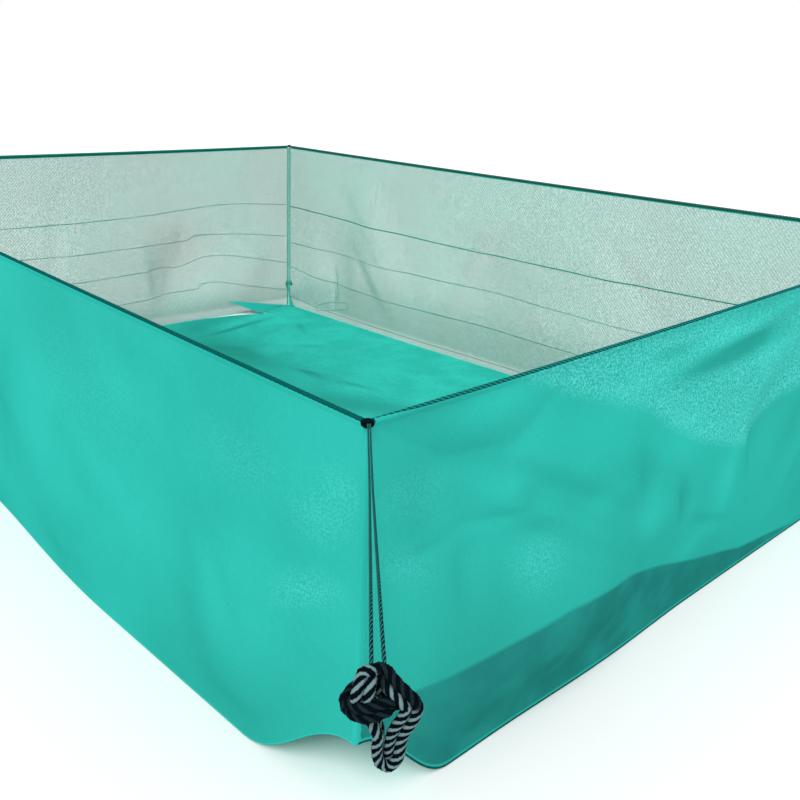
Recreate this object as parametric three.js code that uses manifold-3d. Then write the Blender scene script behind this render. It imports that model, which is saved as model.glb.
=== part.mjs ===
// An open-topped box cage of fine knitted net for fish farming, hung by its corners, its floor on the ground.
// Millimetres. X runs along the two long walls, Y along the two short ones, Z up from the ground.
import * as THREE from 'three';
import { mergeVertices } from 'three/addons/utils/BufferGeometryUtils.js';
import Module from 'manifold-3d';

const wasm = await Module();
wasm.setup();

// Driving dimensions
const LENGTH = 3000;
const WIDTH = 2240;
const RIM_HEIGHT = 870;
const NET_THICKNESS = 2;
const RIM_ROPE = 10; // diameter
const HEM_CORD = 5; // diameter
const TIE_CORD = 2.8; // diameter of each of the two strands of a corner tie
const TIE_SPREAD = 4.8; // between the two strands of a tie
const MOORING_ROPE = 8; // diameter of the rope that is knotted into the end of a tie
const GAP = 0.4; // between pieces that meet
const SEAM_LEG = 14.5; // how far a corner seam reaches along each wall
const HEM_CLEARANCE = HEM_CORD + 2; // height of a wall's lower edge over the ground
const FLOOR_INSET = HEM_CORD / 2 + 1; // from the middle of the hem cord to the floor's edge

// The corner knot is turns of cord around the meeting of the rim ropes, on an axis that points outwards.
const KNOT = { inner: -8, outer: 12, radius: 9.5, groove: 1.6, lip: 2, turns: 3, stepsPerTurn: 3 };
const ROPE_END = KNOT.radius + 7; // from a corner to the end of a rim rope

// The near corner's foot is drawn up from the ground. The reaches run along the front and the right wall.
const LIFTED_FOOT = { rise: 190, reachFront: 330, reachRight: 250 };

// How far each corner of the rim and of the floor stands outside the box, and the rise of its rim
const CORNERS = {
  frontRight: { side: [1, -1], rimOut: [24, 24], rimRise: -66, footOut: [0, 0] },
  frontLeft: { side: [-1, -1], rimOut: [0, 0], rimRise: -3, footOut: [0, 0] },
  backRight: { side: [1, 1], rimOut: [150, 40], rimRise: 6, footOut: [75, 20] },
  backLeft: { side: [-1, 1], rimOut: [0, 0], rimRise: 6, footOut: [0, 0] },
};

// Each wall runs between two corners. Its rim sags, and a wave of its hem is drawn inwards.
const WALLS = {
  front: {
    ends: ['frontRight', 'frontLeft'],
    out: [0, -1],
    columns: 34,
    rimSag: 4,
    hemWave: { along: 1900, reach: 1000, inward: 55 },
  },
  right: {
    ends: ['frontRight', 'backRight'],
    out: [1, 0],
    columns: 26,
    rimSag: 9,
    hemWave: { along: 780, reach: 420, inward: -8 },
  },
  back: {
    ends: ['backRight', 'backLeft'],
    out: [0, 1],
    columns: 30,
    rimSag: 5,
    hemWave: { along: 1400, reach: 900, inward: -20 },
  },
  left: {
    ends: ['frontLeft', 'backLeft'],
    out: [-1, 0],
    columns: 24,
    rimSag: 4,
    hemWave: { along: 1400, reach: 600, inward: -34 },
  },
};
const WALL_ROWS = 10;
const COLUMN_CROWDING = 0.4; // a wall's columns crowd towards its first corner
const SEAM_GRID = { legs: 4, rows: 8 };
const RIM_STATIONS = 12;
const SECTION_SIDES = { rimRope: 8, hemCord: 6, tie: 8, mooringRope: 8, cornerKnot: 10 };

// Soft folds of the walls: the middle of a fold along the wall from its first corner and as a share of the
// height down from the rim, its half width and half height, how far it stands outwards, and how it leans.
const WALL_FOLDS = {
  front: [
    { along: 330, down: 0.72, halfWidth: 260, halfHeight: 0.32, out: 34, lean: 60 },
    { along: 640, down: 0.5, halfWidth: 200, halfHeight: 0.55, out: -20, lean: -160 },
    { along: 1080, down: 0.58, halfWidth: 420, halfHeight: 0.45, out: 46, lean: 120 },
    { along: 1620, down: 0.55, halfWidth: 240, halfHeight: 0.5, out: -24, lean: -90 },
    { along: 2120, down: 0.6, halfWidth: 400, halfHeight: 0.42, out: 40, lean: 80 },
    { along: 2640, down: 0.5, halfWidth: 220, halfHeight: 0.5, out: -18, lean: -120 },
  ],
  right: [
    { along: 240, down: 0.3, halfWidth: 220, halfHeight: 0.3, out: -26, lean: 420 },
    { along: 520, down: 0.7, halfWidth: 520, halfHeight: 0.3, out: 58, lean: 0 },
    { along: 1120, down: 0.62, halfWidth: 360, halfHeight: 0.36, out: 34, lean: 160 },
    { along: 1420, down: 0.42, halfWidth: 190, halfHeight: 0.4, out: -28, lean: -380 },
    { along: 1820, down: 0.5, halfWidth: 260, halfHeight: 0.45, out: 26, lean: -260 },
  ],
  back: [
    { along: 420, down: 0.55, halfWidth: 320, halfHeight: 0.45, out: 30, lean: 60 },
    { along: 1060, down: 0.5, halfWidth: 300, halfHeight: 0.5, out: -22, lean: -80 },
    { along: 1720, down: 0.6, halfWidth: 380, halfHeight: 0.42, out: 34, lean: 140 },
    { along: 2420, down: 0.5, halfWidth: 210, halfHeight: 0.52, out: -34, lean: -430 },
    { along: 2760, down: 0.66, halfWidth: 190, halfHeight: 0.34, out: 26, lean: -60 },
  ],
  left: [
    { along: 420, down: 0.55, halfWidth: 300, halfHeight: 0.44, out: 30, lean: 60 },
    { along: 980, down: 0.6, halfWidth: 340, halfHeight: 0.42, out: -30, lean: 60 },
    { along: 1560, down: 0.7, halfWidth: 280, halfHeight: 0.32, out: 95, lean: 40 },
    { along: 1960, down: 0.72, halfWidth: 180, halfHeight: 0.26, out: -28, lean: -40 },
  ],
};
const END_FADE = 160; // the folds flatten out over this length before a corner
const RIM_FADE = 0.16; // and over this share of the height under the rim
const HEM_FADE = 0.14; // and above the hem

// Low ridges of slack net on the floor: the middle, the half length and half width, and the turn from X
const FLOOR_RIDGES = [
  { x: -1385, y: 800, halfLength: 330, halfWidth: 150, turn: 100, rise: 60 },
  { x: -1040, y: 720, halfLength: 420, halfWidth: 120, turn: 118, rise: 26 },
  { x: -620, y: 300, halfLength: 420, halfWidth: 150, turn: 40, rise: 16 },
  { x: 760, y: -720, halfLength: 380, halfWidth: 140, turn: 150, rise: 18 },
  { x: 900, y: 620, halfLength: 380, halfWidth: 150, turn: 30, rise: 16 },
];
const FLOOR_COLUMNS = 24;
const FLOOR_ROWS = 18;

// The near tie is held taut: millimetres along it from the corner, and its sag under the straight line
const TAUT_DIRECTION = [586, -556, 196];
const TAUT_ROUTE = [
  [13, 0],
  [40, 0.5],
  [80, 1],
  [130, 1.8],
  [190, 2.6],
  [250, 3.3],
  [310, 3.8],
  [370, 4.1],
  [430, 4.2],
  [490, 4.1],
  [550, 3.7],
  [610, 3.1],
  [670, 2.3],
  [730, 1.5],
  [785, 0.7],
  [831, 0],
];

// The other ties hang: millimetres outwards from the corner, and down from it
const HANGING_ROUTE = [
  [13, 0],
  [18, 0.4],
  [23, 2],
  [28, 5.5],
  [31.5, 11],
  [33.5, 18],
  [34.5, 28],
  [35, 45],
  [35, 90],
  [35, 160],
  [35, 240],
  [35, 330],
  [35, 420],
  [35, 510],
  [35, 600],
  [35, 680],
  [35, 752],
];

// The mooring rope is knotted into the end of a tie, with a small loop under the knot. The knot's middle is
// set off from the end of the tie, and the loop's points run across and up from that middle.
const ROPE_KNOT = { radius: 11.2, tube: 4, steps: 40, sides: 6, outFromTie: 10, downFromTie: 17 };
const ROPE_LOOP = [
  [-8, -9],
  [-7, -18],
  [-4, -28],
  [2, -35],
  [9, -34],
  [13, -25],
  [14, -14],
  [13, -3],
];

const TEAL_NET = { color: 0x33bfae, roughness: 0.62, metalness: 0 };
const DARK_ROPE = { color: 0x23302f, roughness: 0.8, metalness: 0 };
const UP = new THREE.Vector3(0, 0, 1);
const TANGENT_STEP = 1e-4; // share of a surface over which its slope is taken

const cage = new THREE.Group();

function addPiece(name, geometry, finish) {
  const mesh = new THREE.Mesh(geometry, new THREE.MeshStandardMaterial(finish));
  mesh.name = name;
  cage.add(mesh);
}

// A soft hump: 1 in the middle, 0 from a distance of 1 on
function bell(distance) {
  return Math.abs(distance) < 1 ? 0.5 + 0.5 * Math.cos(Math.PI * distance) : 0;
}

function fade(distance, reach) {
  return THREE.MathUtils.smoothstep(distance, 0, reach);
}

// Where the corners of the rim and the floor are

function cornerPoint(corner, outside, height) {
  const x = corner.side[0] * (LENGTH / 2 + outside[0]);
  const y = corner.side[1] * (WIDTH / 2 + outside[1]);
  return new THREE.Vector3(x, y, height);
}

function rimCorner(name) {
  const corner = CORNERS[name];
  return cornerPoint(corner, corner.rimOut, RIM_HEIGHT + corner.rimRise);
}

function footCorner(name, inset = 0) {
  const corner = CORNERS[name];
  const outside = corner.footOut.map((shift) => shift - inset);
  return cornerPoint(corner, outside, 0);
}

function outwardDiagonal(name) {
  const [x, y] = CORNERS[name].side;
  return new THREE.Vector3(x, y, 0).normalize();
}

const NEAR_FOOT = footCorner('frontRight');

function groundLift(x, y) {
  const alongFront = (NEAR_FOOT.x - x) / LIFTED_FOOT.reachFront;
  const alongRight = (y - NEAR_FOOT.y) / LIFTED_FOOT.reachRight;
  return LIFTED_FOOT.rise * bell(Math.hypot(alongFront, alongRight));
}

// Lines and surfaces of the walls, with along in millimetres from the wall's first corner

function wallLength(wall) {
  return rimCorner(wall.ends[0]).distanceTo(rimCorner(wall.ends[1]));
}

function rimPoint(wall, along) {
  const share = along / wallLength(wall);
  const point = rimCorner(wall.ends[0]).lerp(rimCorner(wall.ends[1]), share);
  point.z -= wall.rimSag * 4 * share * (1 - share);
  return point;
}

function footPoint(wall, along, inset = 0) {
  const share = along / wallLength(wall);
  const point = footCorner(wall.ends[0], inset).lerp(footCorner(wall.ends[1], inset), share);
  const wave = wall.hemWave;
  const inward = wave.inward * bell((along - wave.along) / wave.reach);
  point.x -= wall.out[0] * inward;
  point.y -= wall.out[1] * inward;
  point.z = groundLift(point.x, point.y);
  return point;
}

function foldDepth(name, along, down) {
  const room = Math.min(along, wallLength(WALLS[name]) - along);
  let depth = 0;
  for (const fold of WALL_FOLDS[name]) {
    const middle = fold.along + fold.lean * (down - fold.down);
    const across = bell((along - middle) / fold.halfWidth);
    depth += fold.out * across * bell((down - fold.down) / fold.halfHeight);
  }
  return depth * fade(room, END_FADE) * fade(down, RIM_FADE) * fade(1 - down, HEM_FADE);
}

function wallPoint(name, along, down) {
  const wall = WALLS[name];
  const top = rimPoint(wall, along);
  top.z -= RIM_ROPE / 2 + GAP;
  const bottom = footPoint(wall, along);
  bottom.z += HEM_CLEARANCE;
  const point = top.lerp(bottom, down);
  const depth = foldDepth(name, along, down);
  point.x += wall.out[0] * depth;
  point.y += wall.out[1] * depth;
  return point;
}

// The place of a wall's column, from 0 at its first corner seam to 1 at its second
function columnPlace(wall, share) {
  const crowded = share * (1 - COLUMN_CROWDING + COLUMN_CROWDING * share);
  const end = SEAM_LEG + GAP;
  return end + (wallLength(wall) - 2 * end) * crowded;
}

// The back of a box splits its squares along the other diagonal than the front. Both are split alike here,
// so that the two sides of a twisted sheet stay one thickness apart.
function splitBackLikeFront(box) {
  const [, , , , , back] = box.groups;
  const squareIndices = 6;
  for (let i = back.start; i < back.start + back.count; i += squareIndices) {
    const [a, b, d, , c] = box.index.array.slice(i, i + squareIndices);
    box.index.array.set([a, b, c, a, c, d], i);
  }
}

// A closed sheet of even thickness on a surface that is a function of two shares
function sheetGeometry(columns, rows, thickness, surface) {
  const geometry = new THREE.BoxGeometry(1, 1, 1, columns, rows, 1);
  splitBackLikeFront(geometry);
  const position = geometry.attributes.position;
  const step = TANGENT_STEP;
  for (let i = 0; i < position.count; i += 1) {
    const across = position.getX(i) + 0.5;
    const down = position.getY(i) + 0.5;
    const side = position.getZ(i);
    const alongA = surface(across + step, down).sub(surface(across - step, down));
    const alongB = surface(across, down + step).sub(surface(across, down - step));
    const normal = alongA.cross(alongB).normalize();
    const point = surface(across, down).addScaledVector(normal, side * thickness);
    position.setXYZ(i, point.x, point.y, point.z);
  }
  return geometry;
}

function roundSection(diameter, sides) {
  const corners = [];
  for (let i = 0; i < sides; i += 1) {
    const angle = (2 * Math.PI * i) / sides;
    corners.push(new THREE.Vector2(Math.cos(angle), Math.sin(angle)).multiplyScalar(diameter / 2));
  }
  return new THREE.Shape(corners);
}

// A path through points that keeps each point as a station of the tube
class StationPath extends THREE.Curve {
  constructor(points) {
    super();
    this.points = points;
  }

  getPoint(share) {
    const last = this.points.length - 1;
    const place = THREE.MathUtils.clamp(share, 0, 1) * last;
    const start = Math.min(Math.floor(place), last - 1);
    return this.points[start].clone().lerp(this.points[start + 1], place - start);
  }

  getPointAt(share) {
    return this.getPoint(share);
  }

  getTangentAt(share) {
    return this.getTangent(share, 0.5 / this.points.length);
  }

  getTangent(share, delta = TANGENT_STEP) {
    const before = this.getPoint(share - delta);
    return this.getPoint(share + delta).sub(before).normalize();
  }
}

function ropeGeometry(points, diameter, sides) {
  return new THREE.ExtrudeGeometry(roundSection(diameter, sides), {
    steps: points.length - 1,
    extrudePath: new StationPath(points),
    curveSegments: 1,
  });
}

// Net panels

function addWallPanels() {
  for (const [name, wall] of Object.entries(WALLS)) {
    const surface = (across, down) => wallPoint(name, columnPlace(wall, across), down);
    const panel = sheetGeometry(wall.columns, WALL_ROWS, NET_THICKNESS, surface);
    addPiece(`net_${name}`, panel, TEAL_NET);
  }
}

function floorRise(x, y) {
  let rise = 0;
  for (const ridge of FLOOR_RIDGES) {
    const turn = THREE.MathUtils.degToRad(ridge.turn);
    const dx = x - ridge.x;
    const dy = y - ridge.y;
    const along = dx * Math.cos(turn) + dy * Math.sin(turn);
    const across = dy * Math.cos(turn) - dx * Math.sin(turn);
    rise += ridge.rise * bell(along / ridge.halfLength) * bell(across / ridge.halfWidth);
  }
  const room = Math.min(LENGTH / 2 - Math.abs(x), WIDTH / 2 - Math.abs(y));
  return rise * fade(room, END_FADE / 2);
}

// The floor fills the four hem lines: from the front to the back wall, and from the right to the left one.
function floorPoint(toLeft, toBack) {
  const edge = (name, share) => footPoint(WALLS[name], share * wallLength(WALLS[name]), FLOOR_INSET);
  const between = edge('front', toLeft).lerp(edge('back', toLeft), toBack);
  const sideways = edge('right', toBack).lerp(edge('left', toBack), toLeft);
  const foot = (name) => footCorner(name, FLOOR_INSET);
  const frontEnds = foot('frontRight').lerp(foot('frontLeft'), toLeft);
  const backEnds = foot('backRight').lerp(foot('backLeft'), toLeft);
  const point = between.add(sideways).sub(frontEnds.lerp(backEnds, toBack));
  point.z = groundLift(point.x, point.y) + floorRise(point.x, point.y) + NET_THICKNESS / 2;
  return point;
}

function addFloorPanel() {
  const crowd = (share) => share * (1 - COLUMN_CROWDING + COLUMN_CROWDING * share);
  const surface = (across, down) => floorPoint(crowd(across), crowd(down));
  addPiece('net_floor', sheetGeometry(FLOOR_COLUMNS, FLOOR_ROWS, NET_THICKNESS, surface), TEAL_NET);
}

// A seam strip folded round each upright corner, one leg on each of the two walls that meet there
function wallsAt(corner) {
  return Object.keys(WALLS).filter((name) => WALLS[name].ends.includes(corner));
}

function pointFromCorner(name, corner, distance, down) {
  const wall = WALLS[name];
  const along = wall.ends[0] === corner ? distance : wallLength(wall) - distance;
  return wallPoint(name, along, down);
}

function addCornerSeams() {
  const { legs, rows } = SEAM_GRID;
  for (const corner of Object.keys(CORNERS)) {
    const [first, second] = wallsAt(corner);
    const topShare = KNOT.radius / RIM_HEIGHT;
    const surface = (across, down) => {
      const leg = (2 * across - 1) * SEAM_LEG;
      const height = topShare + (1 - topShare) * down;
      return pointFromCorner(leg < 0 ? first : second, corner, Math.abs(leg), height);
    };
    addPiece(`corner_seam_${corner}`, sheetGeometry(legs, rows, NET_THICKNESS, surface), TEAL_NET);
  }
}

// Ropes along the rim and cords along the hem

function addRimRopes() {
  for (const [name, wall] of Object.entries(WALLS)) {
    const points = [];
    for (let i = 0; i <= RIM_STATIONS; i += 1) {
      const along = ROPE_END + ((wallLength(wall) - 2 * ROPE_END) * i) / RIM_STATIONS;
      points.push(rimPoint(wall, along));
    }
    addPiece(`rim_rope_${name}`, ropeGeometry(points, RIM_ROPE, SECTION_SIDES.rimRope), DARK_ROPE);
  }
}

// The cords of the long walls run to the corners, and those of the short walls stop beside them.
function addHemCords() {
  for (const [name, wall] of Object.entries(WALLS)) {
    const isLong = wall.out[0] === 0;
    const end = isLong ? 0 : HEM_CORD + GAP;
    const places = [end];
    for (let i = 0; i <= wall.columns; i += 1) {
      places.push(columnPlace(wall, i / wall.columns));
    }
    places.push(wallLength(wall) - end);
    const points = places.map((along) => footPoint(wall, along).addScaledVector(UP, HEM_CORD / 2));
    addPiece(`hem_cord_${name}`, ropeGeometry(points, HEM_CORD, SECTION_SIDES.hemCord), DARK_ROPE);
  }
}

// Corner knots and ties

function addCornerKnots() {
  const count = KNOT.turns * KNOT.stepsPerTurn;
  for (const corner of Object.keys(CORNERS)) {
    const profile = [new THREE.Vector2(0, KNOT.inner)];
    for (let i = 0; i <= count; i += 1) {
      const share = i / count;
      const turn = Math.abs(Math.sin(Math.PI * KNOT.turns * share));
      const lip = i % count === 0 ? KNOT.lip : 0;
      const radius = KNOT.radius - KNOT.groove * (1 - turn) - lip;
      profile.push(new THREE.Vector2(radius, KNOT.inner + (KNOT.outer - KNOT.inner) * share));
    }
    profile.push(new THREE.Vector2(0, KNOT.outer));
    const knot = new THREE.LatheGeometry(profile, SECTION_SIDES.cornerKnot);
    const latheAxis = new THREE.Vector3(0, 1, 0);
    const turned = new THREE.Quaternion().setFromUnitVectors(latheAxis, outwardDiagonal(corner));
    const centre = rimCorner(corner);
    knot.applyQuaternion(turned).translate(centre.x, centre.y, centre.z);
    addPiece(`corner_knot_${corner}`, knot, DARK_ROPE);
  }
}

function tieRoute(corner) {
  const isTaut = corner === 'frontRight';
  const line = isTaut ? new THREE.Vector3(...TAUT_DIRECTION).normalize() : outwardDiagonal(corner);
  const route = isTaut ? TAUT_ROUTE : HANGING_ROUTE;
  const start = rimCorner(corner);
  return route.map(([away, down]) => start.clone().addScaledVector(line, away).addScaledVector(UP, -down));
}

function toSolid(geometry) {
  const bare = geometry.clone();
  bare.deleteAttribute('normal');
  bare.deleteAttribute('uv');
  const merged = mergeVertices(bare);
  const vertProperties = new Float32Array(merged.attributes.position.array);
  const triVerts = new Uint32Array(merged.index.array);
  return new wasm.Manifold(new wasm.Mesh({ numProp: 3, vertProperties, triVerts }));
}

function toGeometry(solid) {
  const { vertProperties, triVerts } = solid.getMesh();
  const geometry = new THREE.BufferGeometry();
  geometry.setAttribute('position', new THREE.BufferAttribute(new Float32Array(vertProperties), 3));
  geometry.setIndex(new THREE.BufferAttribute(new Uint32Array(triVerts), 1));
  geometry.computeVertexNormals();
  return geometry;
}

// The knot lies in the plane of across and up, and the loop is one rope with it.
function ropeKnotGeometry() {
  const { radius, tube, steps, sides } = ROPE_KNOT;
  const knot = new THREE.TorusKnotGeometry(radius, tube, steps, sides);
  const points = ROPE_LOOP.map(([across, up]) => new THREE.Vector3(across, up, 0));
  const loop = ropeGeometry(points, MOORING_ROPE, SECTION_SIDES.mooringRope);
  return toGeometry(toSolid(knot).add(toSolid(loop)));
}

function addTies() {
  const sides = [
    { letter: 'a', shift: -TIE_SPREAD / 2 },
    { letter: 'b', shift: TIE_SPREAD / 2 },
  ];
  for (const corner of Object.keys(CORNERS)) {
    const route = tieRoute(corner);
    const out = outwardDiagonal(corner);
    const parting = UP.clone().cross(out);
    for (const { letter, shift } of sides) {
      const strand = route.map((point) => point.clone().addScaledVector(parting, shift));
      addPiece(`tie_${corner}_${letter}`, ropeGeometry(strand, TIE_CORD, SECTION_SIDES.tie), DARK_ROPE);
    }
    const middle = route[route.length - 1].clone();
    middle.addScaledVector(out, ROPE_KNOT.outFromTie).addScaledVector(UP, -ROPE_KNOT.downFromTie);
    const facing = new THREE.Matrix4().makeBasis(parting, UP, out).setPosition(middle);
    addPiece(`rope_knot_${corner}`, ropeKnotGeometry().applyMatrix4(facing), DARK_ROPE);
  }
}

addWallPanels();
addFloorPanel();
addCornerSeams();
addRimRopes();
addHemCords();
addCornerKnots();
addTies();

export default cage;
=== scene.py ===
# %% [markdown]
# # A net cage for fish farming
# The real cage is an open box of fine teal net. A dark laid rope runs round its rim and a cord round its
# hem, and a tie with a knotted rope hangs from each corner. Its solids are loaded first. Each main piece
# of this scene then takes the place of one solid, with the finer form and the finish of the real thing.

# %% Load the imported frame
import math

import bpy
import numpy as np
from mathutils import Matrix, Vector


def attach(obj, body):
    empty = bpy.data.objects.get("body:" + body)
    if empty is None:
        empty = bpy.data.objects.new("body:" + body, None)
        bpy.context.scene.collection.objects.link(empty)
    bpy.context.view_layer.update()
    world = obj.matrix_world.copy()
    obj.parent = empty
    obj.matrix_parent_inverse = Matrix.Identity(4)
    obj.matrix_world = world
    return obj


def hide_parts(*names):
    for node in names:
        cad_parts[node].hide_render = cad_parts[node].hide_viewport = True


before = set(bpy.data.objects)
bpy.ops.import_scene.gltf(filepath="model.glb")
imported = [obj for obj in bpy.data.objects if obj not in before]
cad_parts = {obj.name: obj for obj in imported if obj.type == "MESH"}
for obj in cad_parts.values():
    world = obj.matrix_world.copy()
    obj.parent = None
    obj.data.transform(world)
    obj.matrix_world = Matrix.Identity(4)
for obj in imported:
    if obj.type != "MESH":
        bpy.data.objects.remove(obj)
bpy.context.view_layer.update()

# %% [markdown]
# ## The camera
# The photograph looks down from outside the near corner. A camera fitted to the corners of the rim and
# the floor gives the place, the three turns and the focal length. Making the camera first shows at once
# whether the frame sits in the picture as it should.

# %% Set up the camera
PHOTO_SIDE = 800  # pixels
FOCAL_PIXELS = 878.4
SENSOR_WIDTH = 36.0  # millimetres
CAMERA_PLACE = Vector((2.367, -1.960, 1.279))
CAMERA_YAW = math.radians(133.737)
CAMERA_PITCH = math.radians(20.467)
CAMERA_ROLL = math.radians(-2.880)


def add_camera():
    level = math.cos(CAMERA_PITCH)
    forward = Vector((math.cos(CAMERA_YAW) * level, math.sin(CAMERA_YAW) * level, -math.sin(CAMERA_PITCH)))
    level_right = Vector((math.sin(CAMERA_YAW), -math.cos(CAMERA_YAW), 0))
    level_down = forward.cross(level_right)
    right = math.cos(CAMERA_ROLL) * level_right + math.sin(CAMERA_ROLL) * level_down
    down = forward.cross(right)
    data = bpy.data.cameras.new("photo_camera")
    data.sensor_width = SENSOR_WIDTH
    data.lens = FOCAL_PIXELS / PHOTO_SIDE * SENSOR_WIDTH
    camera = bpy.data.objects.new("photo_camera", data)
    turn = Matrix((right, -down, -forward)).transposed().to_4x4()
    camera.matrix_world = Matrix.Translation(CAMERA_PLACE) @ turn
    bpy.context.scene.collection.objects.link(camera)
    bpy.context.scene.camera = camera
    return camera


camera = add_camera()
print("lens:", round(camera.data.lens, 2), "mm")

# %% [markdown]
# ## The measures of the cage
# The same named sizes shape the solids, so each piece here falls on its solid without any fitting.
# Everything is in metres: X runs along the long walls, Y along the short ones, and Z up from the ground.

# %% Name the sizes
LENGTH = 3.000
WIDTH = 2.240
RIM_HEIGHT = 0.870
RIM_ROPE = 0.010  # diameter
HEM_CORD = 0.005  # diameter
TIE_CORD = 0.0028  # diameter of each strand of a tie
GAP = 0.0004  # between pieces that meet
SEAM_LEG = 0.0145  # how far a corner seam reaches along each wall
HEM_OVERLAP = HEM_CORD - 0.001  # height of a wall's lower edge, rolled into the hem cord
FLOOR_INSET = HEM_CORD / 2 + 0.0002  # the floor's edge is sewn to the hem cord
FLOOR_LIFT = 0.001  # the middle of the floor's net over the ground
ROPE_END = 0.010  # from a corner to the end of a rim rope, inside the corner's knot
NEAR_CORNER = "frontRight"  # its tie is held taut and lifts its foot
FAR_CORNER = "backLeft"
LIFTED_FOOT = {"rise": 0.190, "reach_front": 0.330, "reach_right": 0.250}
TURN = 2 * math.pi
TINY = 1e-6  # keeps a divisor off zero
UP = np.array((0.0, 0.0, 1.0))

CORNERS = {
    "frontRight": {"side": (1, -1), "rim_out": (0.024, 0.024), "rim_rise": -0.066, "foot_out": (0, 0)},
    "frontLeft": {"side": (-1, -1), "rim_out": (0, 0), "rim_rise": -0.003, "foot_out": (0, 0)},
    "backRight": {"side": (1, 1), "rim_out": (0.150, 0.040), "rim_rise": 0.006, "foot_out": (0.075, 0.020)},
    "backLeft": {"side": (-1, 1), "rim_out": (0, 0), "rim_rise": 0.006, "foot_out": (0, 0)},
}
WALLS = {  # the wave of a wall's foot: its middle along the wall, its reach, how far inwards
    "front": {"ends": ("frontRight", "frontLeft"), "out": (0, -1), "sag": 0.004, "wave": (1.9, 1.0, 0.055)},
    "right": {"ends": ("frontRight", "backRight"), "out": (1, 0), "sag": 0.009, "wave": (0.78, 0.42, -0.008)},
    "back": {"ends": ("backRight", "backLeft"), "out": (0, 1), "sag": 0.005, "wave": (1.4, 0.9, -0.020)},
    "left": {"ends": ("frontLeft", "backLeft"), "out": (-1, 0), "sag": 0.004, "wave": (1.4, 0.6, -0.034)},
}
print("box:", LENGTH, "by", WIDTH, "by", RIM_HEIGHT, "m")


# %% Find the lines of the rim and the hem
def bell(distance):
    """A soft hump: 1 in the middle, 0 from a distance of 1 on."""
    return 0.5 + 0.5 * np.cos(np.pi * np.clip(distance, -1, 1))


def fade(distance, reach):
    share = np.clip(np.asarray(distance) / reach, 0, 1)
    return share * share * (3 - 2 * share)


def lerp(first, second, share):
    share = np.asarray(share)[..., None]
    return first * (1 - share) + second * share


def read_off(rows, place):
    """The second column of a table, read off at places along its first."""
    return np.interp(place, *np.array(rows).T)


def corner_point(name, outside, height):
    across, deep = CORNERS[name]["side"]
    return np.array((across * (LENGTH / 2 + outside[0]), deep * (WIDTH / 2 + outside[1]), height))


def rim_corner(name):
    corner = CORNERS[name]
    return corner_point(name, corner["rim_out"], RIM_HEIGHT + corner["rim_rise"])


def foot_corner(name, inset=0.0):
    across, deep = CORNERS[name]["foot_out"]
    return corner_point(name, (across - inset, deep - inset), 0.0)


def outward(corner):
    return np.array((*CORNERS[corner]["side"], 0)) / math.sqrt(2)


def parting(corner):
    """Sideways from a corner's outward line."""
    return np.cross(UP, outward(corner))


def wall_out(name):
    return np.array((*WALLS[name]["out"], 0))


def walls_at(corner):
    return [name for name in WALLS if corner in WALLS[name]["ends"]]


def ground_lift(x, y):
    near = foot_corner(NEAR_CORNER)
    along_front = (near[0] - x) / LIFTED_FOOT["reach_front"]
    along_right = (y - near[1]) / LIFTED_FOOT["reach_right"]
    return LIFTED_FOOT["rise"] * bell(np.hypot(along_front, along_right))


def wall_length(name):
    first, second = WALLS[name]["ends"]
    return float(np.linalg.norm(rim_corner(second) - rim_corner(first)))


def rim_line(name, along):
    first, second = WALLS[name]["ends"]
    share = np.asarray(along) / wall_length(name)
    points = lerp(rim_corner(first), rim_corner(second), share)
    points[..., 2] -= WALLS[name]["sag"] * 4 * share * (1 - share)
    return points


def foot_line(name, along, inset=0.0):
    first, second = WALLS[name]["ends"]
    share = np.asarray(along) / wall_length(name)
    points = lerp(foot_corner(first, inset), foot_corner(second, inset), share)
    middle, reach, inward = WALLS[name]["wave"]
    shift = inward * bell((np.asarray(along) - middle) / reach)
    points = points - shift[..., None] * wall_out(name)
    points[..., 2] = ground_lift(points[..., 0], points[..., 1])
    return points


print("rim:", {name: round(wall_length(name), 3) for name in WALLS})

# %% [markdown]
# ## The ropes' lay
# A laid rope is three strands twisted together. Three swept strands would cost three times the faces, so
# one Geometry Nodes tree makes every rope and cord of the cage from a single section with three lobes. It
# sweeps the section along a path and turns it by the curve's tilt once in each lay length. The height of
# a lobe is kept as the attribute crest, so that a finish can follow the strands.


# %% Write node trees as expressions
class Socket:
    """An output of a node that can be used in sums and products."""

    def __init__(self, graph, socket):
        self.graph = graph
        self.socket = socket

    def joined(self, operation, first, second):
        return self.graph.node("ShaderNodeMath", {0: first, 1: second}, operation=operation)

    def __add__(self, other):
        return self.joined("ADD", self, other)

    def __sub__(self, other):
        return self.joined("SUBTRACT", self, other)

    def __rsub__(self, other):
        return self.joined("SUBTRACT", other, self)

    def __mul__(self, other):
        return self.joined("MULTIPLY", self, other)

    def __truediv__(self, other):
        return self.joined("DIVIDE", self, other)

    __radd__ = __add__
    __rmul__ = __mul__


class Graph:
    """A node tree that grows by one node for each call."""

    def __init__(self, tree):
        self.tree = tree

    def node(self, kind, inputs=None, output=0, **settings):
        made = self.tree.nodes.new(kind)
        for name, value in settings.items():
            setattr(made, name, value)
        for name, value in (inputs or {}).items():
            self.feed(made.inputs[name], value)
        return Socket(self, made.outputs[output])

    def feed(self, socket, value):
        if isinstance(value, Socket):
            self.tree.links.new(value.socket, socket)
        else:
            socket.default_value = value


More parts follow.
